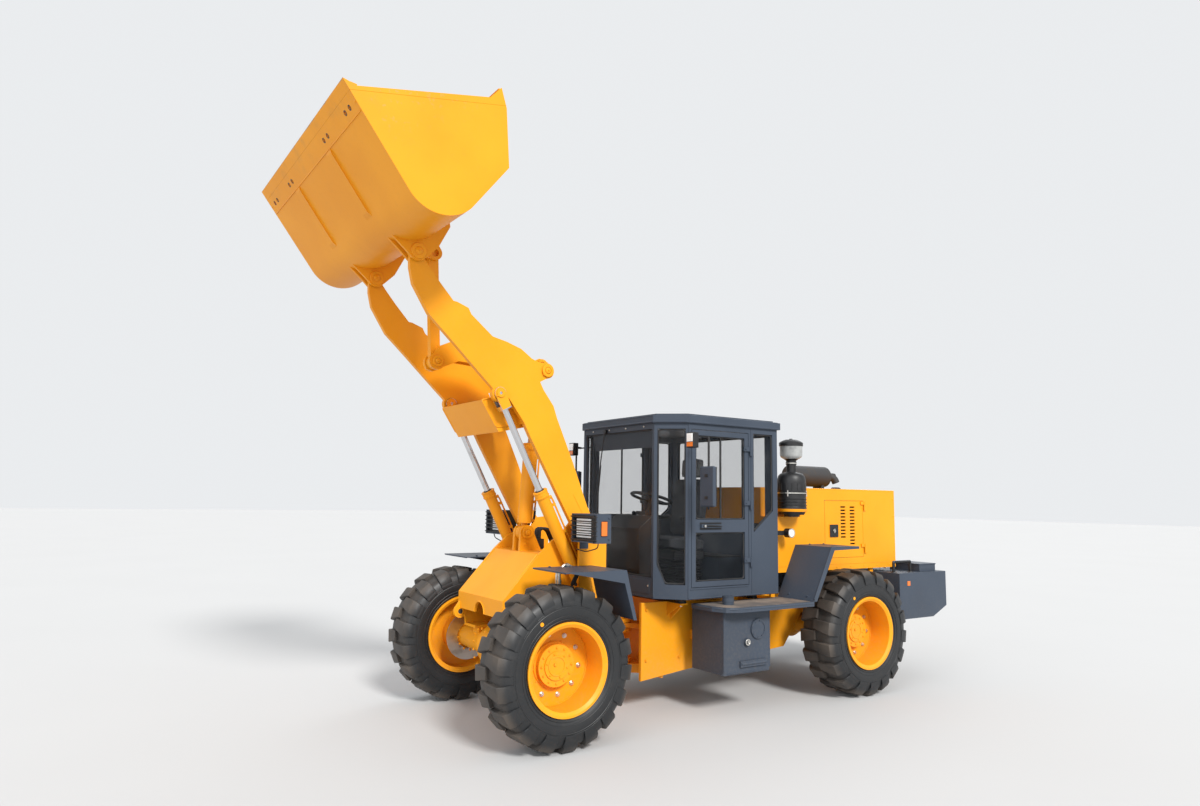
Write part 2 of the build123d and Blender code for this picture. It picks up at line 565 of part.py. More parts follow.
LIFT_FORK = dict(gap=ARM_T + 2 * SIDE_CLEAR, tine=14.0, reach=105.0)
LIFT_BACK, TILT_BACK = 660.0, 290.0   # how far the rods can travel back into their barrels
for name, side in (("left", 1), ("right", -1)):
    barrel, rod = cylinder_pair(LIFT_BASE, LIFT_EYE, ARM_Y, LIFT_BARREL_R, LIFT_BARREL_L, LIFT_ROD_R,
                                LIFT_BACK, LIFT_FORK)
    for kind, shape in (("barrel", barrel), ("rod", rod)):
        save(f"lift_{kind}_{name}", shape if side > 0 else mirror(shape, about=Plane.XZ))
barrel, rod = cylinder_pair(TILT_BASE, TILT_EYE, 0.0, TILT_BARREL_R, TILT_BARREL_L, TILT_ROD_R, TILT_BACK)
save("tilt_barrel", barrel)
save("tilt_rod", rod)


# ---------------------------------------------------------------- rear frame
def rear_frame():
    """Two rails, the pivot lugs, cross plates, cab brackets and axle saddles."""
    y0, y1 = RAIL_Y, RAIL_Y + RAIL_T
    web_x = STEER_X - 150
    nose = plate([(REAR_NOSE_X, 254), (REAR_NOSE_X, RAIL_TOP), (REAR_NOSE_END, RAIL_TOP),
                  (REAR_NOSE_END, 300)], y0, y1)
    rail = plate([(REAR_NOSE_END + 1, RAIL_TOP), (CW_FRONT + SEAT_GAP, RAIL_TOP), (CW_FRONT + SEAT_GAP, 660),
                  (REAR_AXLE_X - 220, PAD_TOP), (REAR_AXLE_X + 220, PAD_TOP), (REAR_AXLE_X + 470, 400),
                  (REAR_NOSE_END + 1, 300)], y0, y1)
    web = block(web_x - 25, web_x, -y0, y0, 254, RAIL_TOP)
    top = block(REAR_NOSE_END, web_x, -y0, y0, RAIL_TOP - 20, RAIL_TOP)
    floor = block(REAR_NOSE_END, web_x, -y0, y0, 300, 320)
    lugs = []
    for low, high in ((0, 1), (2, 3)):
        z0, z1 = TONGUE[low][1] + LUG_CLEAR, TONGUE[high][0] - LUG_CLEAR
        wedge = slab([(web_x - 1, -220), (web_x - 1, 220), (STEER_X, PIVOT_LUG_R), (STEER_X, -PIVOT_LUG_R)], z0, z1)
        lugs += [wedge, bar((STEER_X, 0, z0), (STEER_X, 0, z1), PIVOT_LUG_R),
                 bar((STEER_X, 0, TONGUE[low][0] - 12), (STEER_X, 0, TONGUE[high][1] + 12), PIVOT_R)]
    crosses = [block(x - 12, x + 12, -y0, y0, 700, RAIL_TOP) for x in (REAR_AXLE_X + 600, REAR_AXLE_X - 380)]
    for s in (-1, 1):
        near = REAR_AXLE_X + s * CRADLE_X
        far = near + s * CRADLE_T
        hanger = wall_x([(-y0 - 1, RAIL_TOP - 20), (-y0 - 1, PAD_TOP), (-130, AXLE_Z - 110), (130, AXLE_Z - 110),
                         (y0 + 1, PAD_TOP), (y0 + 1, RAIL_TOP - 20)], near, far)
        window = block(*sorted((near - s, far + s)), -200, 200, PAD_TOP + 20, RAIL_TOP - 60)
        journal = bar((near - s, 0, AXLE_Z), (far + s, 0, AXLE_Z), TRUNNION_R + PIN_CLEAR)
        crosses.append(cut(hanger, window, journal))
    hitch = block(CW_FRONT + SEAT_GAP, CW_FRONT + 16, -y0, y0, 700, RAIL_TOP)
    mounts = []
    for x in (CAB_CORNER - 90, CAB_REAR + 130):
        arm = block(x - 45, x + 45, y1 - 1, 600, RAIL_TOP - 16, RAIL_TOP - 2)
        gusset = wall_x([(y1 - 1, RAIL_TOP - 150), (y1 - 1, RAIL_TOP - 10), (590, RAIL_TOP - 10)], x - 8, x + 8)
        pad = bar((x, 555, RAIL_TOP - 3), (x, 555, CAB_LOW - SEAT_GAP), 42)
        mounts += both(fuse(arm, gusset, pad))
    bearers = []
    for x in (TANK_FRONT - 120, TANK_REAR + 100):
        bearers += both(block(x - 30, x + 30, y1 - 1, TANK_IN - SEAT_GAP, 560, 640))
    hangers = both(block(FENDER_FOOT + 58, FENDER_FOOT + 98, y1 - 1, FENDER_IN + 100, STEP_TOP - STEP_T - 55,
                          STEP_TOP - STEP_T - SEAT_GAP))
    skirts = []
    for x in (HOOD_FRONT - 60, CW_FRONT + 60):
        skirts += both(block(x - 25, x + 25, y1 - 1, HOOD_HALF - 30, RAIL_TOP - 30, RAIL_TOP - 2))
        skirts += both(block(x - 25, x + 25, HOOD_HALF - 54, HOOD_HALF - 30, RAIL_TOP - 30, HOOD_LOW - SEAT_GAP))
    return fuse(both(nose), both(rail), web, top, floor, *lugs, *crosses, hitch, *mounts, *bearers,
                hangers, skirts)


LUG_CLEAR = 6.0
save("rear_frame", rear_frame())


def counterweight():
    """Cast weight behind the rear wheels, with a slot and a drawbar pin bore."""
    outline = [(CW_FRONT - 70, CW_LOW), (CW_FRONT, CW_LOW + 60), (CW_FRONT, CW_TOP), (CW_REAR, CW_TOP),
               (CW_REAR, CW_LOW + 101), (CW_REAR + 233, CW_LOW)]
    body = plate(outline, -CW_HALF, CW_HALF)
    body = cut(body, block(CW_REAR - 1, CW_REAR + HITCH_DEPTH, -HITCH_HALF, HITCH_HALF, HITCH_Z0, HITCH_Z1))
    box = block(CW_REAR + 90, CW_REAR + 360, CW_HALF - 420, CW_HALF - 60, CW_TOP, CW_TOP + 75)
    box2 = mirror(box, about=Plane.XZ)
    pin_at = (CW_REAR + 70, 0)
    bore = bar((*pin_at, HITCH_Z0 - 120), (*pin_at, CW_TOP + 1), HITCH_R)
    front, rear, top = (CW_FRONT - 60, 790), (CW_FRONT - 330, 790), CW_TOP + 105
    loop = [bar((*front, CW_TOP - 1), (*front, top), 13), bar((*front, top), (*rear, top), 13),
            bar((*rear, top), (*rear, CW_TOP - 1), 13), Pos(*front, top) * Sphere(13), Pos(*rear, top) * Sphere(13)]
    return cut(fuse(body, box, box2, *both(fuse(*loop))), bore)


HITCH_R, HITCH_HALF, HITCH_DEPTH = 21.0, 140.0, 150.0
HITCH_Z0, HITCH_Z1 = 790.0, 880.0
save("counterweight", counterweight())

ENGINE = dict(rear=HOOD_REAR + 420, front=HOOD_FRONT - 320, half=300.0, low=RAIL_TOP + SEAT_GAP, high=1720.0)
save("engine", block(ENGINE["rear"], ENGINE["front"], -RAIL_Y - RAIL_T, RAIL_Y + RAIL_T, ENGINE["low"],
                     ENGINE["low"] + 60).fuse(block(ENGINE["rear"], ENGINE["front"], -ENGINE["half"],
                                                    ENGINE["half"], ENGINE["low"] + 60, ENGINE["high"])))

CLEANER = dict(x=CAB_REAR - 251, y=700.0, r=140.0, low=1652.0, high=2050.0)
NOTCH_CLEAR = 40.0


def hood():
    """Engine hood, open below, with door openings, a rear grille and the air cleaner's recess."""
    h, t = HOOD_HALF, HOOD_T
    notch_rear = CLEANER["x"] - CLEANER["r"] - NOTCH_CLEAR
    notch_in = CLEANER["y"] - CLEANER["r"] - NOTCH_CLEAR
    notch_low = CLEANER["low"] - 14
    outer = block(HOOD_REAR, HOOD_FRONT, -h, h, HOOD_LOW, HOOD_TOP)
    inside = block(HOOD_REAR + t, HOOD_FRONT - t, -h + t, h - t, HOOD_LOW - 1, HOOD_TOP - t)
    room = block(notch_rear, HOOD_FRONT + 1, notch_in, h + 1, notch_low, HOOD_TOP + 1)
    skin = block(notch_rear - t, HOOD_FRONT, notch_in - t, h, notch_low - t, HOOD_TOP)
    shell = fuse(cut(outer, inside, room), cut(skin, room))
    x0, x1, z0, z1 = HOOD_DOOR
    doors = [block(x0, x1, s * (h - t - 30), s * (h + 1), z0, z1) for s in (-1, 1)]
    slots = [block(HOOD_REAR - 1, HOOD_REAR + t + 1, -430, 430, z, z + 34) for z in range(1250, 1800, 62)]
    hinges = []
    for z in (z0 + 70, z1 - 70):
        hinges += both(bar((x0 - 14, h + 12, z - 30), (x0 - 14, h + 12, z + 30), 8)
                       .fuse(block(x0 - 40, x0 - 14, h - 1, h + 12, z - 30, z + 30)))
    pipe = bar((EXHAUST_X, EXHAUST_Y, HOOD_TOP - t - 1), (EXHAUST_X, EXHAUST_Y, HOOD_TOP + 1), RISER_R + 12)
    return cut(fuse(shell, *hinges), *doors, *slots, pipe)


EXHAUST_X, EXHAUST_Y, RISER_R = REAR_AXLE_X - 27, 130.0, 44.0
save("hood", hood())
DOOR_GAP = 5.0


def hood_door(side):
    """Louvred service door on the hood's side."""
    x0, x1, z0, z1 = HOOD_DOOR
    panel = block(x0 + DOOR_GAP, x1 - DOOR_GAP, HOOD_HALF - HOOD_T, HOOD_HALF, z0 + DOOR_GAP, z1 - DOOR_GAP)
    slots = []
    for column, (low, count) in ((x0 + 305, (1430, 10)), (x0 + 165, (1330, 13))):
        slots += [block(column - 38, column + 38, HOOD_HALF - HOOD_T - 1, HOOD_HALF + 1, low + 33 * i,
                        low + 33 * i + 15) for i in range(count)]
    latch = block(x1 - 190, x1 - 70, HOOD_HALF - 1, HOOD_HALF + 6, 1440, 1560)
    barrels = []
    for z in (z0 + 70, z1 - 70):
        low = z + 30 + SEAT_GAP
        knuckle = bar((x0 - 14, HOOD_HALF + 12, low), (x0 - 14, HOOD_HALF + 12, z + 61), 8)
        leaf = block(x0 - 14, x0 + 40, HOOD_HALF + 6, HOOD_HALF + 12, low, z + 61)
        foot = block(x0 + 20, x0 + 40, HOOD_HALF - 1, HOOD_HALF + 7, low, z + 61)
        barrels += [knuckle, leaf, foot]
    door = fuse(cut(panel, *slots), latch, *barrels)
    return door if side > 0 else mirror(door, about=Plane.XZ)


save("hood_door_left", hood_door(1))
save("hood_door_right", hood_door(-1))


def air_cleaner():
    """Upright filter drum in its recess, with its stack and pre-cleaner."""
    x, y = CLEANER["x"], CLEANER["y"]
    foot = CLEANER["low"] - 14 + SEAT_GAP
    stages = [(foot, CLEANER["low"] + 10, 70), (CLEANER["low"], 1700, 128), (1700, 1985, CLEANER["r"]),
              (1985, CLEANER["high"], 132), (CLEANER["high"], 2150, 48), (2150, 2180, 85), (2180, 2310, 106),
              (2310, 2345, 112), (2345, 2372, 70)]
    return fuse(*[bar((x, y, z0 - 0.5 * (i > 0)), (x, y, z1), r) for i, (z0, z1, r) in enumerate(stages)])


save("air_cleaner", air_cleaner())


def muffler():
    """Muffler lying on the hood, riser below it and a short tail pipe."""
    z = HOOD_TOP + 30 + MUFFLER_R
    drum = bar((EXHAUST_X - 450, EXHAUST_Y, z), (EXHAUST_X + 80, EXHAUST_Y, z), MUFFLER_R)
    tail = bar((EXHAUST_X - 410, EXHAUST_Y + 12, z + 14), (EXHAUST_X - 570, EXHAUST_Y + 40, z + 6), 36)
    feet = [block(x - 20, x + 20, EXHAUST_Y - 62, EXHAUST_Y + 58, HOOD_TOP + SEAT_GAP, z - 50)
            for x in (EXHAUST_X - 370, EXHAUST_X - 70)]
    riser = bar((EXHAUST_X, EXHAUST_Y, ENGINE["high"] + SEAT_GAP), (EXHAUST_X, EXHAUST_Y, z - 40), RISER_R)
    return fuse(drum, tail, riser, *feet)


MUFFLER_R = 108.0
save("muffler", muffler())


# ---------------------------------------------------------------- tanks, steps, fenders
def tank(side):
    """Box tank hung on the rail, with its cap on the step."""
    body = block(TANK_REAR, TANK_FRONT, TANK_IN, TANK_OUT, TANK_LOW, STEP_TOP - STEP_T - SEAT_GAP)
    body = body.fillet(28, body.edges().filter_by(Axis.Z).group_by(Axis.Y)[-1])
    cover = pin_y((TANK_REAR + 150, 700), 85, TANK_OUT - 1, TANK_OUT + 10)
    plug = pin_y((TANK_FRONT - 250, 600), 30, TANK_OUT - 1, TANK_OUT + 22)
    handle = block(TANK_REAR + 60, TANK_FRONT - 170, TANK_OUT - 1, TANK_OUT + 18, 400, 450)
    shape = fuse(body, cover, plug, handle)
    return shape if side > 0 else mirror(shape, about=Plane.XZ)


save("fuel_tank", tank(1))
save("hydraulic_tank", tank(-1))


def steps():
    """Step plate with a rounded nose under each door, and the filler cap on it."""
    z0, z1 = STEP_TOP - STEP_T, STEP_TOP
    nose = 170.0
    front = TANK_FRONT + 95
    plan = slab([(FENDER_FOOT, STEP_IN), (FENDER_FOOT, STEP_OUT), (front - nose, STEP_OUT),
                 (front - nose * 0.3, STEP_OUT - nose * 0.3), (front, STEP_OUT - nose), (front, TANK_IN + 100),
                 (TANK_FRONT, STEP_IN)], z0, z1)
    cap = bar((TANK_FRONT - 120, CAB_HALF + 110, z1 - 1), (TANK_FRONT - 120, CAB_HALF + 110, z1 + 75), 48)
    return both(fuse(plan, cap))


save("steps", steps())


def rear_fenders():
    """Slanted plate ahead of each rear wheel with a short flat top."""
    z, t = 1375.0, FENDER_T
    foot_x, top_x, end_x = FENDER_FOOT, REAR_AXLE_X + 531, REAR_AXLE_X + 148
    rise = plate([(foot_x, STEP_TOP + SEAT_GAP), (top_x, z), (top_x - t, z), (foot_x - t, STEP_TOP + SEAT_GAP)],
                 FENDER_REAR_IN, STEP_OUT)
    top = block(end_x, top_x, FENDER_REAR_IN, STEP_OUT, z - t, z)
    lip = plate([(foot_x, STEP_TOP + SEAT_GAP), (top_x, z), (end_x, z), (end_x, z - 22), (top_x - 40, z - 30),
                 (foot_x - 36, STEP_TOP + SEAT_GAP)], STEP_OUT - t, STEP_OUT)
    tab = block(top_x - 128, top_x - 48, HOOD_HALF + SEAT_GAP, HOOD_HALF + 12, z - 60, z - 1)
    return both(fuse(rise, top, lip, tab))


FENDER_REAR_IN = HOOD_HALF + SEAT_GAP
save("rear_fenders", rear_fenders())



# ---------------------------------------------------------------- cab
CAB_PLAN = [(CAB_FRONT, -CAB_FRONT_HALF), (CAB_FRONT, CAB_FRONT_HALF), (CAB_CORNER, CAB_HALF),
            (CAB_REAR, CAB_HALF), (CAB_REAR, -CAB_HALF), (CAB_CORNER, -CAB_HALF)]
FLOOR_T = 40.0
SILL_FRONT = 1120.0          # top of the low front wall


def inset(points, by):
    """Convex plan outline moved inwards by one wall."""
    face = Face(Wire.make_polygon([Vector(x, y, 0) for x, y in points], close=True))
    return face.outer_wire().offset_2d(-by, kind=Kind.INTERSECTION)


def prism(wire, z0, z1):
    """Solid above a plan wire."""
    return Solid.extrude(Face(wire.moved(Location((0, 0, z0)))), Vector(0, 0, z1 - z0))


def cab_frame():
    """Cab shell: floor, posts, sills and rear wall, with every window and door cut."""
    outline = Wire.make_polygon([Vector(x, y, 0) for x, y in CAB_PLAN], close=True)
    core = inset(CAB_PLAN, WALL)
    shell = cut(prism(outline, CAB_LOW, CAB_TOP), prism(core, CAB_LOW + FLOOR_T, CAB_TOP + 1))
    y0, y1 = CAB_HALF - WALL - 30, CAB_HALF + 1
    holes = []
    # doors, from the corner post to the rear post
    holes += both(block(DOOR_REAR, CAB_CORNER - POST + 30, y0, y1, DOOR_LOW, DOOR_TOP))
    # rear side windows with a slanted lower corner
    x0, x1 = CAB_REAR + POST, DOOR_REAR - POST
    holes += both(plate([(x1, WAIST - 60), (x1, DOOR_TOP), (x0, DOOR_TOP), (x0, WAIST + 130)], y0, y1))
    # windscreen
    w = CAB_FRONT_HALF - POST / 2
    holes.append(block(CAB_FRONT - WALL - 30, CAB_FRONT + 1, -w, w, SILL_FRONT, DOOR_TOP))
    # rear window
    holes.append(block(CAB_REAR - 1, CAB_REAR + WALL + 30, -CAB_HALF + 2 * POST, CAB_HALF - 2 * POST, WAIST, DOOR_TOP))
    # chamfered corner windows
    dx, dy = CAB_CORNER - CAB_FRONT, CAB_HALF - CAB_FRONT_HALF
    n = hypot(dx, dy)
    for s in (-1, 1):
        a = Vector(CAB_FRONT + dx / n * CORNER_POST, s * (CAB_FRONT_HALF + dy / n * CORNER_POST), 0)
        b = Vector(CAB_CORNER - dx / n * CORNER_POST, s * (CAB_HALF - dy / n * CORNER_POST), 0)
        out = Vector(dy / n, s * -dx / n, 0)
        foot = Vector(0, 0, CORNER_SILL)
        slant = Vector(0, 0, CORNER_SILL + 160)
        top = Vector(0, 0, DOOR_TOP)
        ring = [a + slant, a + (b - a) * 0.3 + foot, b + foot, b + top, a + top]
        face = Face(Wire.make_polygon([p + out * 20 for p in ring], close=True))
        holes.append(Solid.extrude(face, out * -(WALL + 50)))
    body = cut(shell, *holes)
    hinge_posts = []
    for z in HINGE_Z:
        hinge_posts += both(bar((DOOR_REAR - 14, CAB_HALF + 14, z), (DOOR_REAR - 14, CAB_HALF + 14, z + 40), 9)
                            .fuse(block(DOOR_REAR - 40, DOOR_REAR - 14, CAB_HALF - 1, CAB_HALF + 14, z, z + 40)))
    console = block(CAB_REAR + WALL - 1, CAB_REAR + 330, -330, 330, CAB_LOW + FLOOR_T - 1, 1250)
    return fuse(body, *hinge_posts, console)


CORNER_POST, CORNER_SILL = 26.0, 1070.0
HINGE_Z = (DOOR_LOW + 155.0, 1700.0, DOOR_TOP - 205.0)
save("cab_frame", cab_frame())


def cab_roof():
    """Roof slab with a rim that overhangs the posts."""
    top = prism(Wire.make_polygon([Vector(x, y, 0) for x, y in CAB_PLAN], close=True)
                .offset_2d(ROOF_OVER, kind=Kind.INTERSECTION), CAB_TOP + SEAT_GAP, ROOF_TOP - 18)
    crown = prism(Wire.make_polygon([Vector(x, y, 0) for x, y in CAB_PLAN], close=True)
                  .offset_2d(-25, kind=Kind.INTERSECTION), ROOF_TOP - 19, ROOF_TOP)
    return fuse(top, crown)


save("cab_roof", cab_roof())


def cab_glass():
    """Fixed panes, each set in its opening."""
    g, c = GLASS_T, SEAT_GAP
    w = CAB_FRONT_HALF - POST / 2
    panes = [block(CAB_FRONT - 14 - g, CAB_FRONT - 14, -w + c, w - c, SILL_FRONT + c, DOOR_TOP - c),
             block(CAB_REAR + 14, CAB_REAR + 14 + g, -CAB_HALF + 2 * POST + c, CAB_HALF - 2 * POST - c,
                   WAIST + c, DOOR_TOP - c)]
    x0, x1 = CAB_REAR + POST, DOOR_REAR - POST
    panes += both(plate([(x1 - c, WAIST - 60 + c), (x1 - c, DOOR_TOP - c), (x0 + c, DOOR_TOP - c),
                         (x0 + c, WAIST + 130 + c)], CAB_HALF - 14 - g, CAB_HALF - 14))
    dx, dy = CAB_CORNER - CAB_FRONT, CAB_HALF - CAB_FRONT_HALF
    n = hypot(dx, dy)
    for s in (-1, 1):
        step = CORNER_POST + c
        a = Vector(CAB_FRONT + dx / n * step, s * (CAB_FRONT_HALF + dy / n * step), 0)
        b = Vector(CAB_CORNER - dx / n * step, s * (CAB_HALF - dy / n * step), 0)
        out = Vector(dy / n, s * -dx / n, 0)
        low, slant, top = CORNER_SILL + c, CORNER_SILL + 160 + c, DOOR_TOP - c
        ring = [a + Vector(0, 0, slant), a + (b - a) * 0.3 + Vector(0, 0, low), b + Vector(0, 0, low),
                b + Vector(0, 0, top), a + Vector(0, 0, top)]
        face = Face(Wire.make_polygon([p - out * 14 for p in ring], close=True))
        panes.append(Solid.extrude(face, out * -g))
    return panes


save("cab_glass", cab_glass())
LEAF_GAP = 5.0


def door(side):
    """Cab door: welded frame with an upper and a lower window, hinged at the rear."""
    x0, x1 = DOOR_REAR + LEAF_GAP, CAB_CORNER - POST + 30 - LEAF_GAP
    z0, z1 = DOOR_LOW + LEAF_GAP, DOOR_TOP - LEAF_GAP
    y0, y1 = CAB_HALF - WALL, CAB_HALF
    leaf = block(x0, x1, y0, y1, z0, z1)
    upper = block(x0 + DOOR_RAIL, x1 - DOOR_RAIL, y0 - 1, y1 + 1, WAIST + 55, z1 - DOOR_RAIL)
    lower = block(x0 + DOOR_RAIL, x1 - DOOR_RAIL, y0 - 1, y1 + 1, z0 + DOOR_RAIL, WAIST - 55)
    frame = cut(leaf, upper, lower)
    handle = block(x1 - 330, x1 - 90, y1 - 1, y1 + 26, WAIST - 14, WAIST + 14)
    hinges = []
    for z in HINGE_Z:
        low = z + 40 + SEAT_GAP
        hinges += [bar((DOOR_REAR - 14, CAB_HALF + 14, low), (DOOR_REAR - 14, CAB_HALF + 14, z + 80), 9),
                   block(DOOR_REAR - 14, x0 + 60, CAB_HALF + 6, CAB_HALF + 14, low, z + 80),
                   block(x0 + 10, x0 + 60, CAB_HALF - 1, CAB_HALF + 7, low, z + 80)]
    solid = fuse(frame, handle, *hinges)
    c = SEAT_GAP
    panes = [block(x0 + DOOR_RAIL + c, x1 - DOOR_RAIL - c, y1 - 14 - GLASS_T, y1 - 14, low + c, high - c)
             for low, high in ((WAIST + 55, z1 - DOOR_RAIL), (z0 + DOOR_RAIL, WAIST - 55))]
    if side > 0:
        return solid, panes
    return mirror(solid, about=Plane.XZ), [mirror(p, about=Plane.XZ) for p in panes]


DOOR_RAIL = 45.0
for name, side in (("left", 1), ("right", -1)):
    leaf, panes = door(side)
    save(f"cab_door_{name}", leaf)
    save(f"cab_door_glass_{name}", panes)


def seat():
    """Seat on its pedestal: cushion, back and headrest."""
    x = CAB_REAR + 420
    z = CAB_LOW + FLOOR_T + SEAT_GAP
    base = block(x - 35, x + 330, -190, 190, z, z + 330)
    cushion = block(x - 30, x + 420, -235, 235, z + 330, z + 450)
    back = plate([(x - 20, z + 440), (x + 90, z + 440), (x + 10, z + 1000), (x - 80, z + 1000)], -225, 225)
    head = plate([(x - 70, z + 990), (x + 5, z + 990), (x - 5, z + 1190), (x - 80, z + 1190)], -130, 130)
    return fuse(base, cushion, back, head)


save("seat", seat())


def steering():
    """Column, dash and steering wheel."""
    z = CAB_LOW + FLOOR_T + SEAT_GAP
    foot = (CAB_FRONT - 250, 0, z)
    hub = (CAB_FRONT - 400, 0, z + 800)
    column = plate([(foot[0] + 70, z), (foot[0] - 70, z), (hub[0] + 10, z + 640), (hub[0] + 120, z + 680)], -75, 75)
    shaft = bar((hub[0] + 55, 0, z + 600), hub, 22)
    lean = Plane(origin=hub, z_dir=(Vector(*hub) - Vector(hub[0] + 55, 0, z + 600)).normalized())
    ring = Solid.make_torus(190, 14, lean)
    spoke = lean.location * Box(380, 26, 12)
    return fuse(column, shaft, ring, spoke)


save("steering", steering())


MIRROR_REACH, MIRROR_H = 260.0, 320.0


def cab_fittings():
    """Mirrors on their arms at the corner posts, and a work lamp behind each door."""
    pieces = []
    x, y, top, low = CAB_CORNER + 6, CAB_HALF + MIRROR_REACH, DOOR_TOP - 95, DOOR_TOP - 655
    foot = block(CAB_CORNER - 28, CAB_CORNER - 4, CAB_HALF + SEAT_GAP, CAB_HALF + 12, top - 40, top + 40)
    reach = bar((CAB_CORNER - 14, CAB_HALF + 8, top), (x, y, top), 7)
    drop = bar((x, y, top + 6), (x, y, low - 25), 9)
    glass = block(x - 16, x + 12, y - 80, y + 80, low, low + MIRROR_H)
    knob = Pos(x, y, top) * Sphere(10)
    pieces += both(fuse(foot, reach, drop, glass, knob))
    arm = block(CAB_REAR - 150, CAB_REAR - SEAT_GAP, CAB_HALF - 60, CAB_HALF - 30, 1470, 1510)
    lamp = bar((CAB_REAR - 160, CAB_HALF - 45, 1490), (CAB_REAR - 160, CAB_HALF + 20, 1490), 42)
    pieces += both(fuse(arm, lamp))
    return pieces


save("cab_fittings", cab_fittings())
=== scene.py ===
"""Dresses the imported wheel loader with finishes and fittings, and sets the floor, lights and camera.

Metres. +X points forward, +Y to the machine's left, +Z up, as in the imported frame.
"""
from __future__ import annotations

import json
import logging
from dataclasses import dataclass, field
from enum import Enum
from math import cos, pi, radians, sin, tau
from typing import Iterable, Sequence

import bmesh
import bpy
from mathutils import Matrix, Vector

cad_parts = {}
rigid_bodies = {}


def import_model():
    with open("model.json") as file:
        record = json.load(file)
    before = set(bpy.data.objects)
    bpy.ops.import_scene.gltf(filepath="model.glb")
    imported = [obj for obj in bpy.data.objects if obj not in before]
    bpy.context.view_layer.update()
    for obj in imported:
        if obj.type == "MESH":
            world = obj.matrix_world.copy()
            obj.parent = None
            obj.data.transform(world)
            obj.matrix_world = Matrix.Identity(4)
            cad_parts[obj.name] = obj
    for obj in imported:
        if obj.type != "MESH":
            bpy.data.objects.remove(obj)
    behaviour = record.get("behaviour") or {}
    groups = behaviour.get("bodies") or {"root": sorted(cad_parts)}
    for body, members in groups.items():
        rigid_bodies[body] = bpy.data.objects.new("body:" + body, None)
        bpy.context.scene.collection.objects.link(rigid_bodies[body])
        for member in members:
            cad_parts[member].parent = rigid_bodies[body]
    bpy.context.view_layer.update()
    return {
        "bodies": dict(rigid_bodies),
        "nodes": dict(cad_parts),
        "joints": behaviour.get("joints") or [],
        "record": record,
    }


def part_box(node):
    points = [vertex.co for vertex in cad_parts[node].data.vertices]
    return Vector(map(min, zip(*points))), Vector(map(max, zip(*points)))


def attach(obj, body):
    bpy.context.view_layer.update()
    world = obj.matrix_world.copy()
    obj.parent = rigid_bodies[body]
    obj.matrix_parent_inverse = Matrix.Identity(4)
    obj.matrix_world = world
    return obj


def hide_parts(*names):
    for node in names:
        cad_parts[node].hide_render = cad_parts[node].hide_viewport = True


log = logging.getLogger("wheel_loader")
Colour = tuple[float, float, float]
Point = Sequence[float]
LEFT, RIGHT = 1, -1
SIDES = {LEFT: "left", RIGHT: "right"}


def vec(x: float, y: float, z: float) -> Vector:
    """A point or direction."""
    return Vector((x, y, z))


def turns(count: int, first: float = 0.0) -> list[float]:
    """Even turns round a circle, in radians."""
    return [tau * i / count + first for i in range(count)]


def upright(fixed: int, at: float, near: float, far: float, low: float, high: float) -> list[Vector]:
    """An upright rectangle's corners, from the lower near one round to the upper near one.

    Args:
        fixed: The axis across it, 0 for X or 1 for Y.
        at: Its place on that axis.
        near: One side's place on the other level axis.
        far: The other side's place.
        low: Lower edge.
        high: Upper edge.

    Returns:
        The four corners.
    """
    plan = ((near, low), (far, low), (far, high), (near, high))
    return [vec(at, w, z) if fixed == 0 else vec(w, at, z) for w, z in plan]


def mirrored(point: Point, side: int) -> Vector:
    """A left-hand point taken to the given side of the machine."""
    return vec(point[0], point[1] * side, point[2])


# ---------------------------------------------------------------- shader graph
class Sock:
    """A shader socket that takes part in Python expressions."""

    def __init__(self, graph: "Graph", link: bpy.types.NodeSocket) -> None:
        """Wrap one output socket of a graph."""
        self.graph, self.link = graph, link

    def _math(self, operation: str, first: object, second: object) -> "Sock":
        """A Math node on two values or sockets."""
        return self.graph.node("ShaderNodeMath", {"operation": operation}, {0: first, 1: second})

    def __add__(self, other: object) -> "Sock":
        """self + other."""
        return self._math("ADD", self, other)

    def __sub__(self, other: object) -> "Sock":
        """self - other."""
        return self._math("SUBTRACT", self, other)

    def __rsub__(self, other: object) -> "Sock":
        """other - self."""
        return self._math("SUBTRACT", other, self)

    def __mul__(self, other: object) -> "Sock":
        """self * other."""
        return self._math("MULTIPLY", self, other)

    def __truediv__(self, other: object) -> "Sock":
        """self / other."""
        return self._math("DIVIDE", self, other)

    def __pow__(self, other: object) -> "Sock":
        """self to the power of other."""
        return self._math("POWER", self, other)

    __radd__ = __add__
    __rmul__ = __mul__

    def above(self, low: float, high: float) -> "Sock":
        """A smooth mask, 0 under low and 1 over high."""
        settings = {"interpolation_type": "SMOOTHSTEP", "clamp": True}
        return self.graph.node("ShaderNodeMapRange", settings,
            {"Value": self, "From Min": low, "From Max": high})


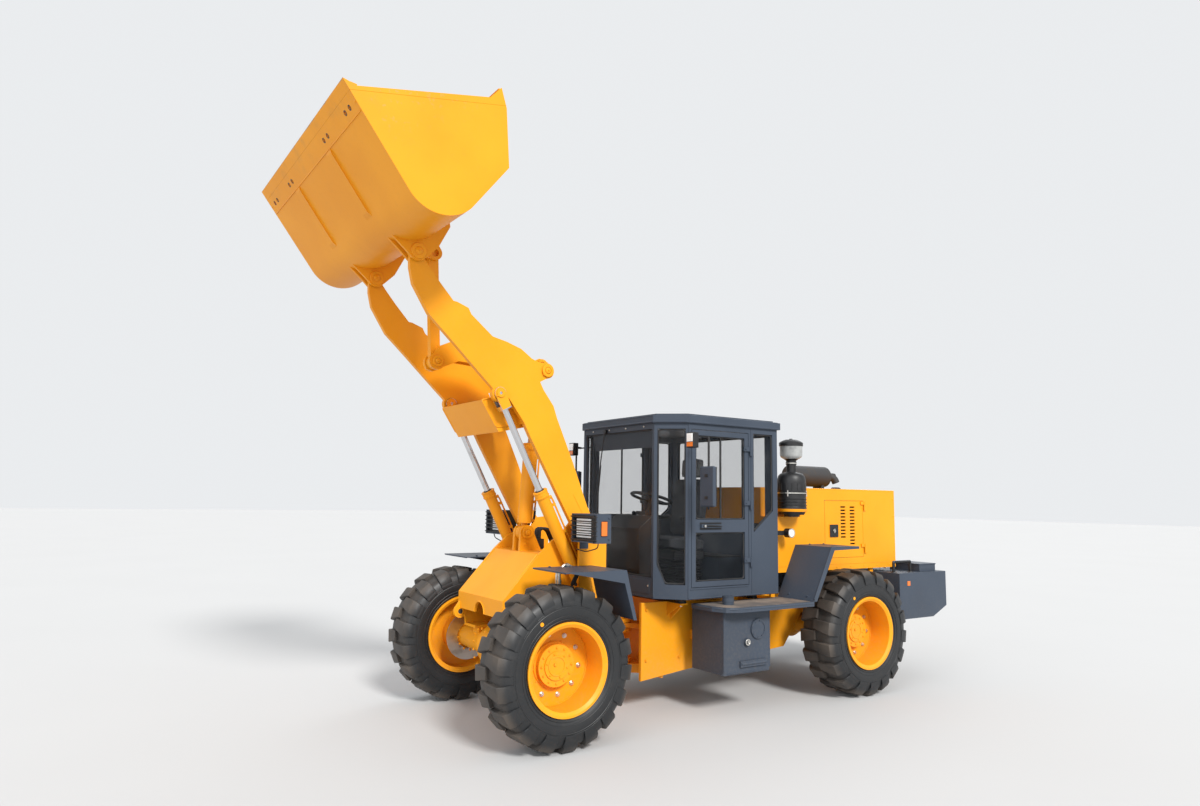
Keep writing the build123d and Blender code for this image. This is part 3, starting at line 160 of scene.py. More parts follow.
class Graph:
    """The node tree of one material."""

    def __init__(self, name: str) -> None:
        """Start an empty material with its output.

        Args:
            name: The material's name.
        """
        self.material = bpy.data.materials.new(name)
        self.material.use_nodes = True
        self.tree = self.material.node_tree
        self.tree.nodes.clear()
        self.output = self.tree.nodes.new("ShaderNodeOutputMaterial")

    def node(self, kind: str, settings: dict | None = None, inputs: dict | None = None,
            out: int | str = 0) -> Sock:
        """Add any node.

        Args:
            kind: The node's type.
            settings: Attributes set first; "stops" fills a colour ramp with (place, colour).
            inputs: Values or sockets by input name or number.
            out: The output wanted.

        Returns:
            The wrapped output socket.
        """
        made = self.tree.nodes.new(kind)
        for key, value in (settings or {}).items():
            if key == "stops":
                for i, (place, colour) in enumerate(value):
                    stop = made.color_ramp.elements[i] if i < 2 else made.color_ramp.elements.new(place)
                    stop.position, stop.color = place, (*colour, 1)
            else:
                setattr(made, key, value)
        for key, value in (inputs or {}).items():
            if isinstance(value, Sock):
                self.tree.links.new(value.link, made.inputs[key])
            else:
                made.inputs[key].default_value = value
        return Sock(self, made.outputs[out])

    def place(self) -> Sock:
        """Object coordinates, which are the frame's own metres at rest."""
        return self.node("ShaderNodeTexCoord", out="Object")

    def axis(self, name: str) -> Sock:
        """One coordinate, X, Y or Z."""
        return self.node("ShaderNodeSeparateXYZ", inputs={0: self.place()}, out=name)

    def noise(self, scale: float, detail: float = 3.0, stretch: Colour = (1, 1, 1)) -> Sock:
        """Noise over the object's coordinates, stretched along the axes."""
        where = self.node("ShaderNodeMapping", inputs={"Vector": self.place(), "Scale": stretch})
        return self.node("ShaderNodeTexNoise", inputs={"Vector": where, "Scale": scale, "Detail": detail})

    def blend(self, share: object, first: object, second: object) -> Sock:
        """Mix two colours by a share.

        Args:
            share: How much of the second shows, 0 to 1.
            first: Colour or socket at share 0.
            second: Colour or socket at share 1.

        Returns:
            The mixed colour.
        """
        settings = {"data_type": "RGBA"}
        pick = {0: share, 6: rgba(first), 7: rgba(second)}
        return self.node("ShaderNodeMix", settings, pick, out=2)

    def bump(self, height: Sock, distance: float, strength: float = 1.0) -> Sock:
        """A Bump node's normal."""
        return self.node("ShaderNodeBump", inputs={"Height": height, "Distance": distance,
            "Strength": strength})

    def principled(self, **inputs: object) -> bpy.types.Material:
        """Close the material with a Principled shader; names use underscores for spaces."""
        named = {key.replace("_", " "): rgba(value) for key, value in inputs.items()}
        shader = self.node("ShaderNodeBsdfPrincipled", inputs=named)
        self.tree.links.new(shader.link, self.output.inputs["Surface"])
        return self.material


def rgba(value: object) -> object:
    """A three-number colour with its alpha; anything else as it is."""
    return (*value, 1.0) if isinstance(value, tuple) and len(value) == 3 else value


# ---------------------------------------------------------------- finishes
@dataclass(frozen=True)
class Paint:
    """Sprayed enamel with faint clouding, dust low down and an orange-peel skin."""

    name: str
    colour: Colour
    deep: Colour
    roughness: float = 0.42
    dust: Colour = (0.42, 0.30, 0.16)
    dust_share: float = 0.10
    dust_top: float = 1.3

    def material(self) -> bpy.types.Material:
        """Build the shader."""
        g = Graph(self.name)
        cloud, fine = g.noise(1.7, 4), g.noise(38, 5)
        height = g.axis("Z")
        low = 1 - height.above(0.15, self.dust_top)
        grime = (low * self.dust_share + 0.02) * fine.above(0.40, 0.72) + low * cloud.above(0.45, 0.8) * 0.10
        coat = g.blend(cloud.above(0.3, 0.75), self.colour, self.deep)
        rough = grime * 0.5 + g.noise(9, 3) * 0.10 + (self.roughness - 0.05)
        skin = g.bump(g.noise(520, 2), 0.0002, 0.25)
        return g.principled(Base_Color=g.blend(grime, coat, self.dust), Roughness=rough, Normal=skin,
            Specular_IOR_Level=0.20, Coat_Weight=0.03, Coat_Roughness=0.2)


@dataclass(frozen=True)
class WornPaint(Paint):
    """Enamel of the bucket, scuffed to bare steel towards its cutting edge and inside."""

    pin: tuple[float, float] = (0.0, 0.0)
    tilt: float = 0.0
    fold: float = 0.860

    def material(self) -> bpy.types.Material:
        """Build the shader."""
        g = Graph(self.name)
        x, z = g.axis("X") - self.pin[0], g.axis("Z") - self.pin[1]
        reach = x * cos(self.tilt) + z * sin(self.tilt)
        depth = z * cos(self.tilt) - x * sin(self.tilt)
        streak = g.noise(30, 6, (1, 0.3, 1))
        edge = (reach + streak * 0.030).above(1.120, 1.135)
        chips = g.noise(42, 6).above(0.70, 0.73) * reach.above(0.95, 1.12)
        inside = (depth - reach * 0.05).above(-0.125, -0.10) * reach.above(0.3, 1.0) * streak.above(0.56,
            0.66)
        bare = (edge * 0.6 + chips * 0.5 + inside * 0.25).above(0.05, 0.7)
        coat = g.blend(g.noise(1.4, 4).above(0.3, 0.7), self.colour, self.deep)
        dusty = g.blend(g.noise(30, 5).above(0.5, 0.8) * 0.06 + reach.above(0.7, 1.15)
            * g.noise(7, 5).above(0.5, 0.8) * 0.25, coat, (0.30, 0.17, 0.06))
        steel = g.blend(g.noise(60, 4), (0.22, 0.15, 0.10), (0.40, 0.36, 0.32))
        fold = (depth * 0.43 + reach * 0.90 - self.fold).above(0.0, 0.004)
        skin = g.bump(g.noise(420, 2) * 0.05 + bare * -0.1 + fold * 2.0, 0.003, 0.5)
        return g.principled(Base_Color=g.blend(bare, dusty, steel), Metallic=bare * 0.55,
            Roughness=bare * 0.18 + self.roughness, Normal=skin, Specular_IOR_Level=0.20)


@dataclass(frozen=True)
class Rubber:
    """Plain black rubber or soft plastic with a little bloom."""

    name: str
    colour: Colour = (0.012, 0.012, 0.013)
    roughness: float = 0.62
    grain: float = 260.0

    def material(self) -> bpy.types.Material:
        """Build the shader."""
        g = Graph(self.name)
        bloom = g.noise(14, 4).above(0.45, 0.8)
        pale = tuple(c * 2.2 + 0.004 for c in self.colour)
        return g.principled(Base_Color=g.blend(bloom, self.colour, pale),
            Roughness=bloom * 0.15 + self.roughness, Normal=g.bump(g.noise(self.grain, 3), 0.0004, 0.4))


@dataclass(frozen=True)
class TyreRubber:
    """Tyre rubber: dusty brown over the lugs and shoulders, darker on the sidewalls."""

    name: str
    centre: tuple[float, float]
    tread_r: float

    def material(self) -> bpy.types.Material:
        """Build the shader."""
        g = Graph(self.name)
        dx, dz = g.axis("X") - self.centre[0], g.axis("Z") - self.centre[1]
        radius = (dx * dx + dz * dz) ** 0.5
        cloud = g.noise(5, 5)
        tread = radius.above(self.tread_r - 0.075, self.tread_r - 0.01)
        film = tread * (cloud.above(0.30, 0.72) * 0.55 + 0.25) + g.noise(22, 5).above(0.5, 0.8) * 0.08
        black = g.blend(cloud, (0.008, 0.009, 0.010), (0.015, 0.016, 0.018))
        height = g.noise(150, 4) * 0.5 + g.noise(24, 3) * 0.5
        return g.principled(Base_Color=g.blend(film, black, (0.095, 0.075, 0.059)),
            Roughness=film * 0.35 + 0.46, Normal=g.bump(height, 0.0012, 0.5))


@dataclass(frozen=True)
class Metal:
    """Bare or plated metal, brushed or cast by its roughness and grain."""

    name: str
    colour: Colour
    stain: Colour
    roughness: float
    grain: float = 90.0
    stretch: Colour = (1, 1, 1)
    shine: float = 1.0

    def material(self) -> bpy.types.Material:
        """Build the shader."""
        g = Graph(self.name)
        brushed = g.noise(self.grain, 5, self.stretch)
        patch = g.noise(11, 4).above(0.52, 0.82)
        return g.principled(Base_Color=g.blend(patch, self.colour, self.stain), Metallic=self.shine,
            Roughness=brushed * 0.16 + patch * 0.14 + self.roughness, Normal=g.bump(brushed, 0.0003, 0.3))


@dataclass(frozen=True)
class Glazing:
    """Smoked cab glass with a thin film of dust."""

    name: str
    colour: Colour = (0.030, 0.036, 0.040)
    alpha: float = 0.42

    def material(self) -> bpy.types.Material:
        """Build the shader."""
        g = Graph(self.name)
        film = g.noise(4, 5).above(0.45, 0.85)
        return g.principled(Base_Color=g.blend(film, self.colour, (0.10, 0.10, 0.10)),
            Roughness=film * 0.06 + 0.03, Alpha=film * 0.03 + self.alpha)


@dataclass(frozen=True)
class Lens:
    """Ribbed lamp lens or reflector."""

    name: str
    colour: Colour
    ribs: float = 240.0
    glow: float = 0.0

    def material(self) -> bpy.types.Material:
        """Build the shader."""
        g = Graph(self.name)
        settings = {"wave_type": "BANDS", "bands_direction": "Y"}
        ribs = g.node("ShaderNodeTexWave", settings, {"Vector": g.place(), "Scale": self.ribs / tau})
        tone = g.blend(ribs, self.colour, tuple(min(1.0, c * 1.5) for c in self.colour))
        return g.principled(Base_Color=tone, Roughness=0.12, Coat_Weight=0.6, Emission_Color=self.colour,
            Emission_Strength=self.glow, Normal=g.bump(ribs, 0.0015, 0.7))


@dataclass(frozen=True)
class Tread:
    """Anti-slip plate top: raised pips under brown dust."""

    name: str
    colour: Colour = (0.040, 0.047, 0.056)

    def material(self) -> bpy.types.Material:
        """Build the shader."""
        g = Graph(self.name)
        cells = g.node("ShaderNodeTexVoronoi", {"feature": "F1"}, {"Vector": g.place(), "Scale": 55.0},
            "Distance")
        pips = 1 - cells.above(0.18, 0.42)
        dust = g.noise(6, 5).above(0.35, 0.7) * 0.55 * (1 - pips * 0.4)
        return g.principled(Base_Color=g.blend(dust + 0.35, self.colour, (0.26, 0.20, 0.155)), Roughness=0.7,
            Normal=g.bump(pips, 0.002, 0.8))


@dataclass(frozen=True)
class Upholstery:
    """Woven seat cloth."""

    name: str
    colour: Colour = (0.020, 0.022, 0.026)

    def material(self) -> bpy.types.Material:
        """Build the shader."""
        g = Graph(self.name)
        warp = g.node("ShaderNodeTexWave", {"bands_direction": "Y"}, {"Vector": g.place(), "Scale": 90.0})
        weft = g.node("ShaderNodeTexWave", {"bands_direction": "Z"}, {"Vector": g.place(), "Scale": 90.0})
        weave = warp * weft
        pale = tuple(c * 2.2 for c in self.colour)
        return g.principled(Base_Color=g.blend(weave, self.colour, pale), Roughness=0.9,
            Normal=g.bump(weave, 0.0008, 0.6))


SLOTS = {"YELLOW": "yellow_paint", "GREY": "grey_paint", "TREAD": "grey_paint", "ZINC": "bare_steel",
    "CAST": "bare_steel", "MIRROR": "chrome", "CLEAR": "glass", "AMBER": "glass", "RED": "glass",
    "BOWL": "glass"}


class Finish(Enum):
    """Every finish on the machine."""

    YELLOW = Paint("yellow_enamel", (0.82, 0.325, 0.010), (0.76, 0.285, 0.007))
    GREY = Paint("slate_enamel", (0.050, 0.064, 0.088), (0.042, 0.054, 0.075), 0.44, (0.16, 0.14, 0.12), 0.16)
    RUBBER = Rubber("seal_rubber")
    PLASTIC = Rubber("moulded_plastic", (0.006, 0.006, 0.007), 0.46, 420.0)
    CHROME = Metal("chromed_rod", (0.62, 0.62, 0.63), (0.45, 0.45, 0.45), 0.12, 60.0, (0.2, 1, 0.2))
    ZINC = Metal("zinc_plate", (0.62, 0.60, 0.56), (0.40, 0.37, 0.32), 0.26)
    CAST = Metal("dark_casting", (0.055, 0.055, 0.057), (0.085, 0.070, 0.058), 0.55, 130.0, (1, 1, 1), 0.55)
    GLASS = Glazing("smoked_glass", (0.012, 0.015, 0.018), 0.12)
    BOWL = Glazing("pre_cleaner_bowl", (0.52, 0.53, 0.52), 0.88)
    MIRROR = Metal("mirror_face", (0.80, 0.82, 0.84), (0.74, 0.76, 0.78), 0.02, 4.0)
    CLEAR = Lens("headlamp_lens", (0.66, 0.67, 0.66), 420.0, 0.06)
    AMBER = Lens("amber_lens", (0.62, 0.14, 0.006), 500.0)
    RED = Lens("red_lens", (0.60, 0.015, 0.010), 500.0)
    TREAD = Tread("anti_slip_top")
    CLOTH = Upholstery("seat_cloth")
    HEADREST = Upholstery("headrest_cloth", (0.16, 0.165, 0.17))

    @property
    def slot(self) -> str:
        """The record's material slot of new pieces in this finish."""
        return SLOTS.get(self.name, "black_plastic")

    def material(self) -> bpy.types.Material:
        """The finish's one shared material."""
        return bpy.data.materials.get(self.value.name) or self.value.material()


# ---------------------------------------------------------------- meshes
def facing(at: Point, axis: Point, spin: float = 0.0) -> Matrix:
    """The matrix that puts a shape's own Z along an axis at a point."""
    turn = Vector(axis).to_track_quat("Z", "Y").to_matrix().to_4x4()
    return Matrix.Translation(Vector(at)) @ turn @ Matrix.Rotation(spin, 4, "Z")


def rounded(points: Sequence[Point], radius: float, closed: bool = False, steps: int = 5) -> list[Vector]:
    """A polyline with its corners turned into arcs.

    Args:
        points: Corner points.
        radius: Length taken off each run at a corner, at most 0.45 of the run.
        closed: Whether the last point joins the first.
        steps: Points along each arc.

    Returns:
        The rounded line's points.
    """
    at = [Vector(p) for p in points]
    line = []
    for i, corner in enumerate(at):
        if not closed and i in (0, len(at) - 1):
            line.append(corner)
            continue
        before, after = at[i - 1] - corner, at[(i + 1) % len(at)] - corner
        start = corner + before.normalized() * min(radius, before.length * 0.45)
        end = corner + after.normalized() * min(radius, after.length * 0.45)
        for k in range(steps + 1):
            t = k / steps
            line.append(start * (1 - t) ** 2 + corner * 2 * t * (1 - t) + end * t ** 2)
    return line


class Shape:
    """Collects forms in one mesh, then becomes a piece that rides on a body."""

    def __init__(self, name: str, body: str, finish: Finish, bevel: float = 0.002, slot: str = "") -> None:
        """Start an empty piece.

        Args:
            name: The piece's name.
            body: The moving body it rides on.
            finish: Its surface.
            bevel: Width of the edge rounding, 0 for none.
            slot: Material slot, the finish's own when empty; not used.
        """
        self.name, self.body, self.finish, self.bevel = name, body, finish, bevel
        self.slot = slot or finish.slot
        self.bm = bmesh.new()

    def box(self, low: Point, high: Point, turn: Matrix | None = None) -> "Shape":
        """A block between two corners, turned about its middle.

        Args:
            low: One corner.
            high: The opposite corner.
            turn: Rotation about the middle, none when left out.

        Returns:
            The piece itself.
        """
        a, b = Vector(low), Vector(high)
        where = Matrix.Translation((a + b) / 2) @ (turn or Matrix()) @ Matrix.Diagonal((*(b - a), 1))
        bmesh.ops.create_cube(self.bm, size=1.0, matrix=where)
        return self

    def rod(self, start: Point, end: Point, radius: float, top: float | None = None,
            sides: int = 24) -> "Shape":
        """A round or many-sided bar, tapered where top is given.

        Args:
            start: Middle of one end.
            end: Middle of the other end.
            radius: Radius at the start.
            top: Radius at the end, the same when left out.
            sides: Number of flats round it.

        Returns:
            The piece itself.
        """
        a, b = Vector(start), Vector(end)
        bmesh.ops.create_cone(self.bm, cap_ends=True, segments=sides, radius1=radius,
            radius2=radius if top is None else top, depth=(b - a).length, matrix=facing((a + b) / 2, b - a))
        return self

    def lathe(self, at: Point, axis: Point, profile: Sequence[tuple[float, float]],
            sides: int = 40) -> "Shape":
        """A closed (height, radius) profile turned about an axis through a point.

        Args:
            at: The point.
            axis: Direction of the axis.
            profile: Heights along the axis with their radii.
            sides: Number of steps round it.

        Returns:
            The piece itself.
        """
        where = facing(at, axis)
        rings = []
        for i in range(sides):
            turn = tau * i / sides
            rings.append([self.bm.verts.new(where @ vec(r * cos(turn), r * sin(turn), h)) for h,
                r in profile])
        for i, ring in enumerate(rings):
            following = rings[(i + 1) % sides]
            for j in range(len(profile)):
                k = (j + 1) % len(profile)
                if profile[j][1] < 1e-6 and profile[k][1] < 1e-6:
                    continue
                self.bm.faces.new((ring[j], ring[k], following[k], following[j]))
        return self

    def ring(self, at: Point, axis: Point, inner: float, outer: float, height: float,
            sides: int = 40) -> "Shape":
        """A flat ring standing off a face."""
        edge = min(height, outer - inner) * 0.3
        return self.lathe(at, axis, [(0, inner), (height, inner), (height, outer - edge),
            (height - edge, outer), (0, outer)], sides)

    def bolt(self, at: Point, axis: Point, size: float) -> "Shape":
        """A hexagon head on its washer, with the thread's end standing out.

        Args:
            at: Where the washer rests.
            axis: Direction away from the surface.
            size: Radius of the head across its corners.

        Returns:
            The piece itself.
        """
        up = Vector(axis).normalized()
        foot = Vector(at)
        self.rod(foot, foot + up * size * 0.18, size * 1.15, sides=20)
        self.rod(foot, foot + up * size * 0.85, size * 0.98, size * 0.94, sides=6)
        return self.rod(foot, foot + up * size * 1.10, size * 0.48, size * 0.42, sides=12)

    def sweep(self, points: Sequence[Point], radius: float, closed: bool = False, sides: int = 10,
            flat: float = 1.0) -> "Shape":
        """A tube along points.

        Args:
            points: The tube's middle line.
            radius: Half its width.
            closed: Whether the ends join.
            sides: Corners of its section.
            flat: Its height as a share of its width.

        Returns:
            The shape itself.
        """
        line = [Vector(p) for p in points]
        count = len(line)
        up = vec(0.013, 0.021, 1.0)
        rings = []
        for i, here in enumerate(line):
            ahead = line[(i + 1) % count] if closed or i < count - 1 else here
            behind = line[i - 1] if closed or i > 0 else here
            along = (ahead - behind).normalized()
            across = along.cross(up)
            if across.length < 0.05:
                across = along.cross(vec(1.0, 0.03, 0.02))
            across.normalize()
            up = across.cross(along).normalized()
            rings.append([self.bm.verts.new(here + across * radius * cos(tau * k / sides) + up * radius * flat
                * sin(tau * k / sides)) for k in range(sides)])
        for i in range(count if closed else count - 1):
            a, b = rings[i], rings[(i + 1) % count]
            for k in range(sides):
                j = (k + 1) % sides
                self.bm.faces.new((a[k], a[j], b[j], b[k]))
        if not closed:
            self.bm.faces.new(list(reversed(rings[0])))
            self.bm.faces.new(rings[-1])
        return self

    def panel(self, outline: Sequence[Point], thickness: Point) -> "Shape":
        """A flat outline given a thickness vector.

        Args:
            outline: Corners of the near face in order.
            thickness: From the near face to the far one.

        Returns:
            The piece itself.
        """
        near = [self.bm.verts.new(Vector(p)) for p in outline]
        far = [self.bm.verts.new(Vector(p) + Vector(thickness)) for p in outline]
        self.bm.faces.new(near)
        self.bm.faces.new(list(reversed(far)))
        for i in range(len(near)):
            j = (i + 1) % len(near)
            self.bm.faces.new((near[j], near[i], far[i], far[j]))
        return self

    def done(self, smooth: float = 38.0) -> bpy.types.Object:
        """Close the mesh, soften its edges, finish it and let it ride.

        Args:
            smooth: Largest angle in degrees between faces shaded as one.

        Returns:
            The finished object.
        """
        bmesh.ops.recalc_face_normals(self.bm, faces=self.bm.faces)
        mesh = bpy.data.meshes.new(self.name)
        self.bm.to_mesh(mesh)
        self.bm.free()
        piece = bpy.data.objects.new(self.name, mesh)
        bpy.context.scene.collection.objects.link(piece)
        mesh.materials.append(self.finish.material())
        mesh.shade_smooth()
        mesh.set_sharp_from_angle(angle=radians(smooth))
        if self.bevel > 0:
            soft = piece.modifiers.new("soft_edges", "BEVEL")
            soft.width, soft.segments, soft.limit_method = self.bevel, 2, "ANGLE"
            soft.angle_limit = radians(50)
            soft.harden_normals = True
        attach(piece, self.body)
        log.info("%s rides on %s", self.name, self.body)
        return piece


@dataclass
class Machine:
    """Where things are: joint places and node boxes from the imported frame."""

    frame: dict
    joints: dict[str, Vector] = field(default_factory=dict)

    def __post_init__(self) -> None:
        """Read each hinge's place."""
        for joint in self.frame["joints"]:
            if "pos_m" in joint:
                self.joints[joint["name"]] = Vector(joint["pos_m"])

    def dress(self, finish: Finish, *nodes: str) -> None:
        """Give carried-over nodes their finish."""
        for name in nodes:
            mesh = self.frame["nodes"][name].data
            mesh.materials.clear()
            mesh.materials.append(finish.material())

    def pin_head(self, shape: Shape, at: Point, side: int, radius: float) -> None:
        """A pin's end: ring, cap, grease nipple and lock bolt, facing outwards.

        Args:
            shape: The piece that gets it.
            at: Middle of the pin's end face.
            side: 1 for the left, -1 for the right.
            radius: Outer radius of the ring.
        """
        out = vec(0, side, 0)
        spot = Vector(at)
        shape.ring(spot, out, radius * 0.55, radius, 0.010)
        shape.lathe(spot, out, [(0, 0), (0.016, 0), (0.016, radius * 0.36), (0.010, radius * 0.50),
            (0, radius * 0.50)], 28)
        shape.rod(spot + out * 0.014, spot + out * 0.028, 0.006, 0.003, sides=8)
        shape.bolt(spot + vec(radius * 0.62, 0, -radius * 0.62) + out * 0.004, out, 0.010)


@dataclass
class Assembly:
    """A sub-assembly whose pieces ride on one body unless another is named."""

    machine: Machine
    body: str = "rear_frame"

    def shape(self, name: str, finish: Finish, bevel: float = 0.0015) -> Shape:
        """Start a piece."""
        return Shape(name, self.body, finish, bevel)


# ---------------------------------------------------------------- wheels
@dataclass
class Wheel:
    """One tyre with its lugs and the hardware on its rim."""

    machine: Machine
    end: str
    side: int
    tyre_r: float = 0.575
    lug_depth: float = 0.034
    bead_r: float = 0.3055
    bead_half: float = 0.170
    lugs: int = 18
    lug_slant: float = 9.0
    disc_face: float = -0.041
    hub_face: float = 0.011
    cap_face: float = 0.021
    hub_r: float = 0.150
    nut_circle: float = 0.218

    def __post_init__(self) -> None:
        """Name the wheel and find its centre."""
        self.name = f"{self.end}_{SIDES[self.side]}"
        self.body = f"wheel_{self.name}"
        self.centre = self.machine.joints[f"roll_{self.name}"]

    def at(self, radius: float, turn: float, across: float) -> Vector:
        """A point by radius, turn from the top and distance outwards from the wheel's middle."""
        return self.centre + vec(radius * sin(turn), across * self.side, radius * cos(turn))

    def carcass(self, shape: Shape) -> None:
        """Rounded tyre body with moulded sidewall rings.

        Args:
            shape: The tyre's piece.
        """
        root = self.tyre_r - self.lug_depth
        half = [(self.bead_half, self.bead_r), (self.bead_half + 0.001, 0.332), (0.184, 0.350),
            (0.193, 0.378), (0.196, 0.410), (0.1955, 0.428), (0.191, 0.462), (0.181, 0.497), (0.165, 0.524),
            (0.140, root - 0.004), (0.07, root), (0.0, root + 0.001)]
        profile = half + [(-y, r) for y, r in reversed(half[:-1])]
        shape.lathe(self.centre, (0, 1, 0), profile, 96)
        for radius, thick in ((0.352, 0.0030), (0.378, 0.0022), (0.433, 0.0030), (0.446, 0.0018)):
            across = 0.1865 if radius < 0.36 else (0.1935 if radius < 0.40 else 0.1945 if radius < 0.44
                else 0.193)
            for face in (1, -1):
                loop = [self.at(radius, turn, across * face) for turn in turns(80)]
                shape.sweep(loop, thick, True, 6)

    def lug(self, shape: Shape, turn: float, face: int) -> None:
        """One slanted lug from the centre line over the shoulder.

        Args:
            shape: The tyre's shape.
            turn: The lug's place round the tyre.
            face: Which half of the tread, 1 outer or -1 inner.
        """
        root, top = self.tyre_r - self.lug_depth - 0.010, self.tyre_r - 0.0035
        slant = radians(self.lug_slant)
        pitch = tau * self.tyre_r / self.lugs
        stations = [(-0.010, top - 0.001, root, 0.42), (0.030, top, root, 0.45), (0.085, top, root, 0.50),
            (0.135, top - 0.002, root, 0.55), (0.163, top - 0.008, root - 0.012, 0.58),
            (0.186, top - 0.038, root - 0.030, 0.60), (0.1985, top - 0.082, root - 0.055, 0.60),
            (0.1975, top - 0.118, root - 0.085, 0.56)]
        sections = []
        for across, high, low, share in stations:
            width = pitch * share
            shift = across * sin(slant) / cos(slant) * 0.9
            section = []
            for along, radius in ((-0.54, low), (-0.50, high - 0.005), (-0.44, high), (0.44, high),
                    (0.50, high - 0.005), (0.54, low)):
                offset = along * width + shift
                section.append(shape.bm.verts.new(self.at(radius, turn + offset / self.tyre_r,
                    across * face)))
            sections.append(section)
        for a, b in zip(sections, sections[1:]):
            for k in range(6):
                j = (k + 1) % 6
                shape.bm.faces.new((a[k], a[j], b[j], b[k]))
        shape.bm.faces.new(sections[0])
        shape.bm.faces.new(list(reversed(sections[-1])))

    def tyre(self) -> None:
        """The whole tyre in place of its plain node."""
        shape = Shape(f"tread_{self.name}", self.body, Finish.RUBBER, 0.0, "rubber")
        self.carcass(shape)
        for i in range(self.lugs):
            self.lug(shape, tau * i / self.lugs, self.side)
            self.lug(shape, tau * (i + 0.5) / self.lugs, -self.side)
        piece = shape.done(34)
        rubber = TyreRubber(f"tyre_rubber_{self.end}", (self.centre.x, self.centre.z), self.tyre_r)
        piece.data.materials[0] = bpy.data.materials.get(rubber.name) or rubber.material()
        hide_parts(f"tyre_{self.name}")

    def hardware(self) -> None:
        """Wheel nuts, hub bolts, cap screws, valve and the paint dot."""
        out = vec(0, self.side, 0)
        nuts = Shape(f"wheel_nuts_{self.name}", self.body, Finish.ZINC, 0.001)
        for turn in turns(10, 0.2):
            nuts.bolt(self.at(self.nut_circle, turn, self.disc_face), out, 0.0165)
        nuts.done()
        hub = Shape(f"hub_trim_{self.name}", self.body, Finish.YELLOW, 0.001)
        for turn in turns(12):
            hub.bolt(self.at(0.126, turn, self.hub_face), out, 0.0085)
        hub.ring(self.at(0, 0, self.disc_face), out, self.hub_r - 0.002, self.hub_r + 0.016, 0.010, 48)
        hub.ring(self.at(0, 0, self.disc_face), out, 0.282, 0.292, 0.008, 64)
        hub.ring(self.at(0, 0, self.cap_face), out, 0.060, 0.074, 0.004, 40)
        for turn in turns(6, 0.3):
            hub.bolt(self.at(0.086, turn, self.cap_face), out, 0.007)
        hub.rod(self.at(0.022, 1.0, self.cap_face), self.at(0.022, 1.0, self.cap_face + 0.010), 0.012,
            sides=6)
        for turn in turns(12, 0.13):
            hub.sweep([self.at(radius, turn, self.disc_face + 0.002) for radius in (0.155, 0.178)], 0.004,
                sides=8)
        hub.done()
        Shape(f"valve_{self.name}", self.body, Finish.PLASTIC,
            0.0005).rod(self.at(0.268, 2.4, self.disc_face), self.at(0.246, 2.4, self.disc_face + 0.045),
            0.006, 0.005).done()
        Shape(f"paint_dot_{self.name}", self.body, Finish.YELLOW, 0.0).lathe(self.at(0.405, 0.62, 0.1945),
            out, [(0, 0), (0.0028, 0), (0.0024, 0.014), (0, 0.015)], 20).done()

    def build(self) -> None:
        """Make and dress the wheel."""
        self.machine.dress(Finish.YELLOW, f"rim_{self.name}")
        self.tyre()
        self.hardware()


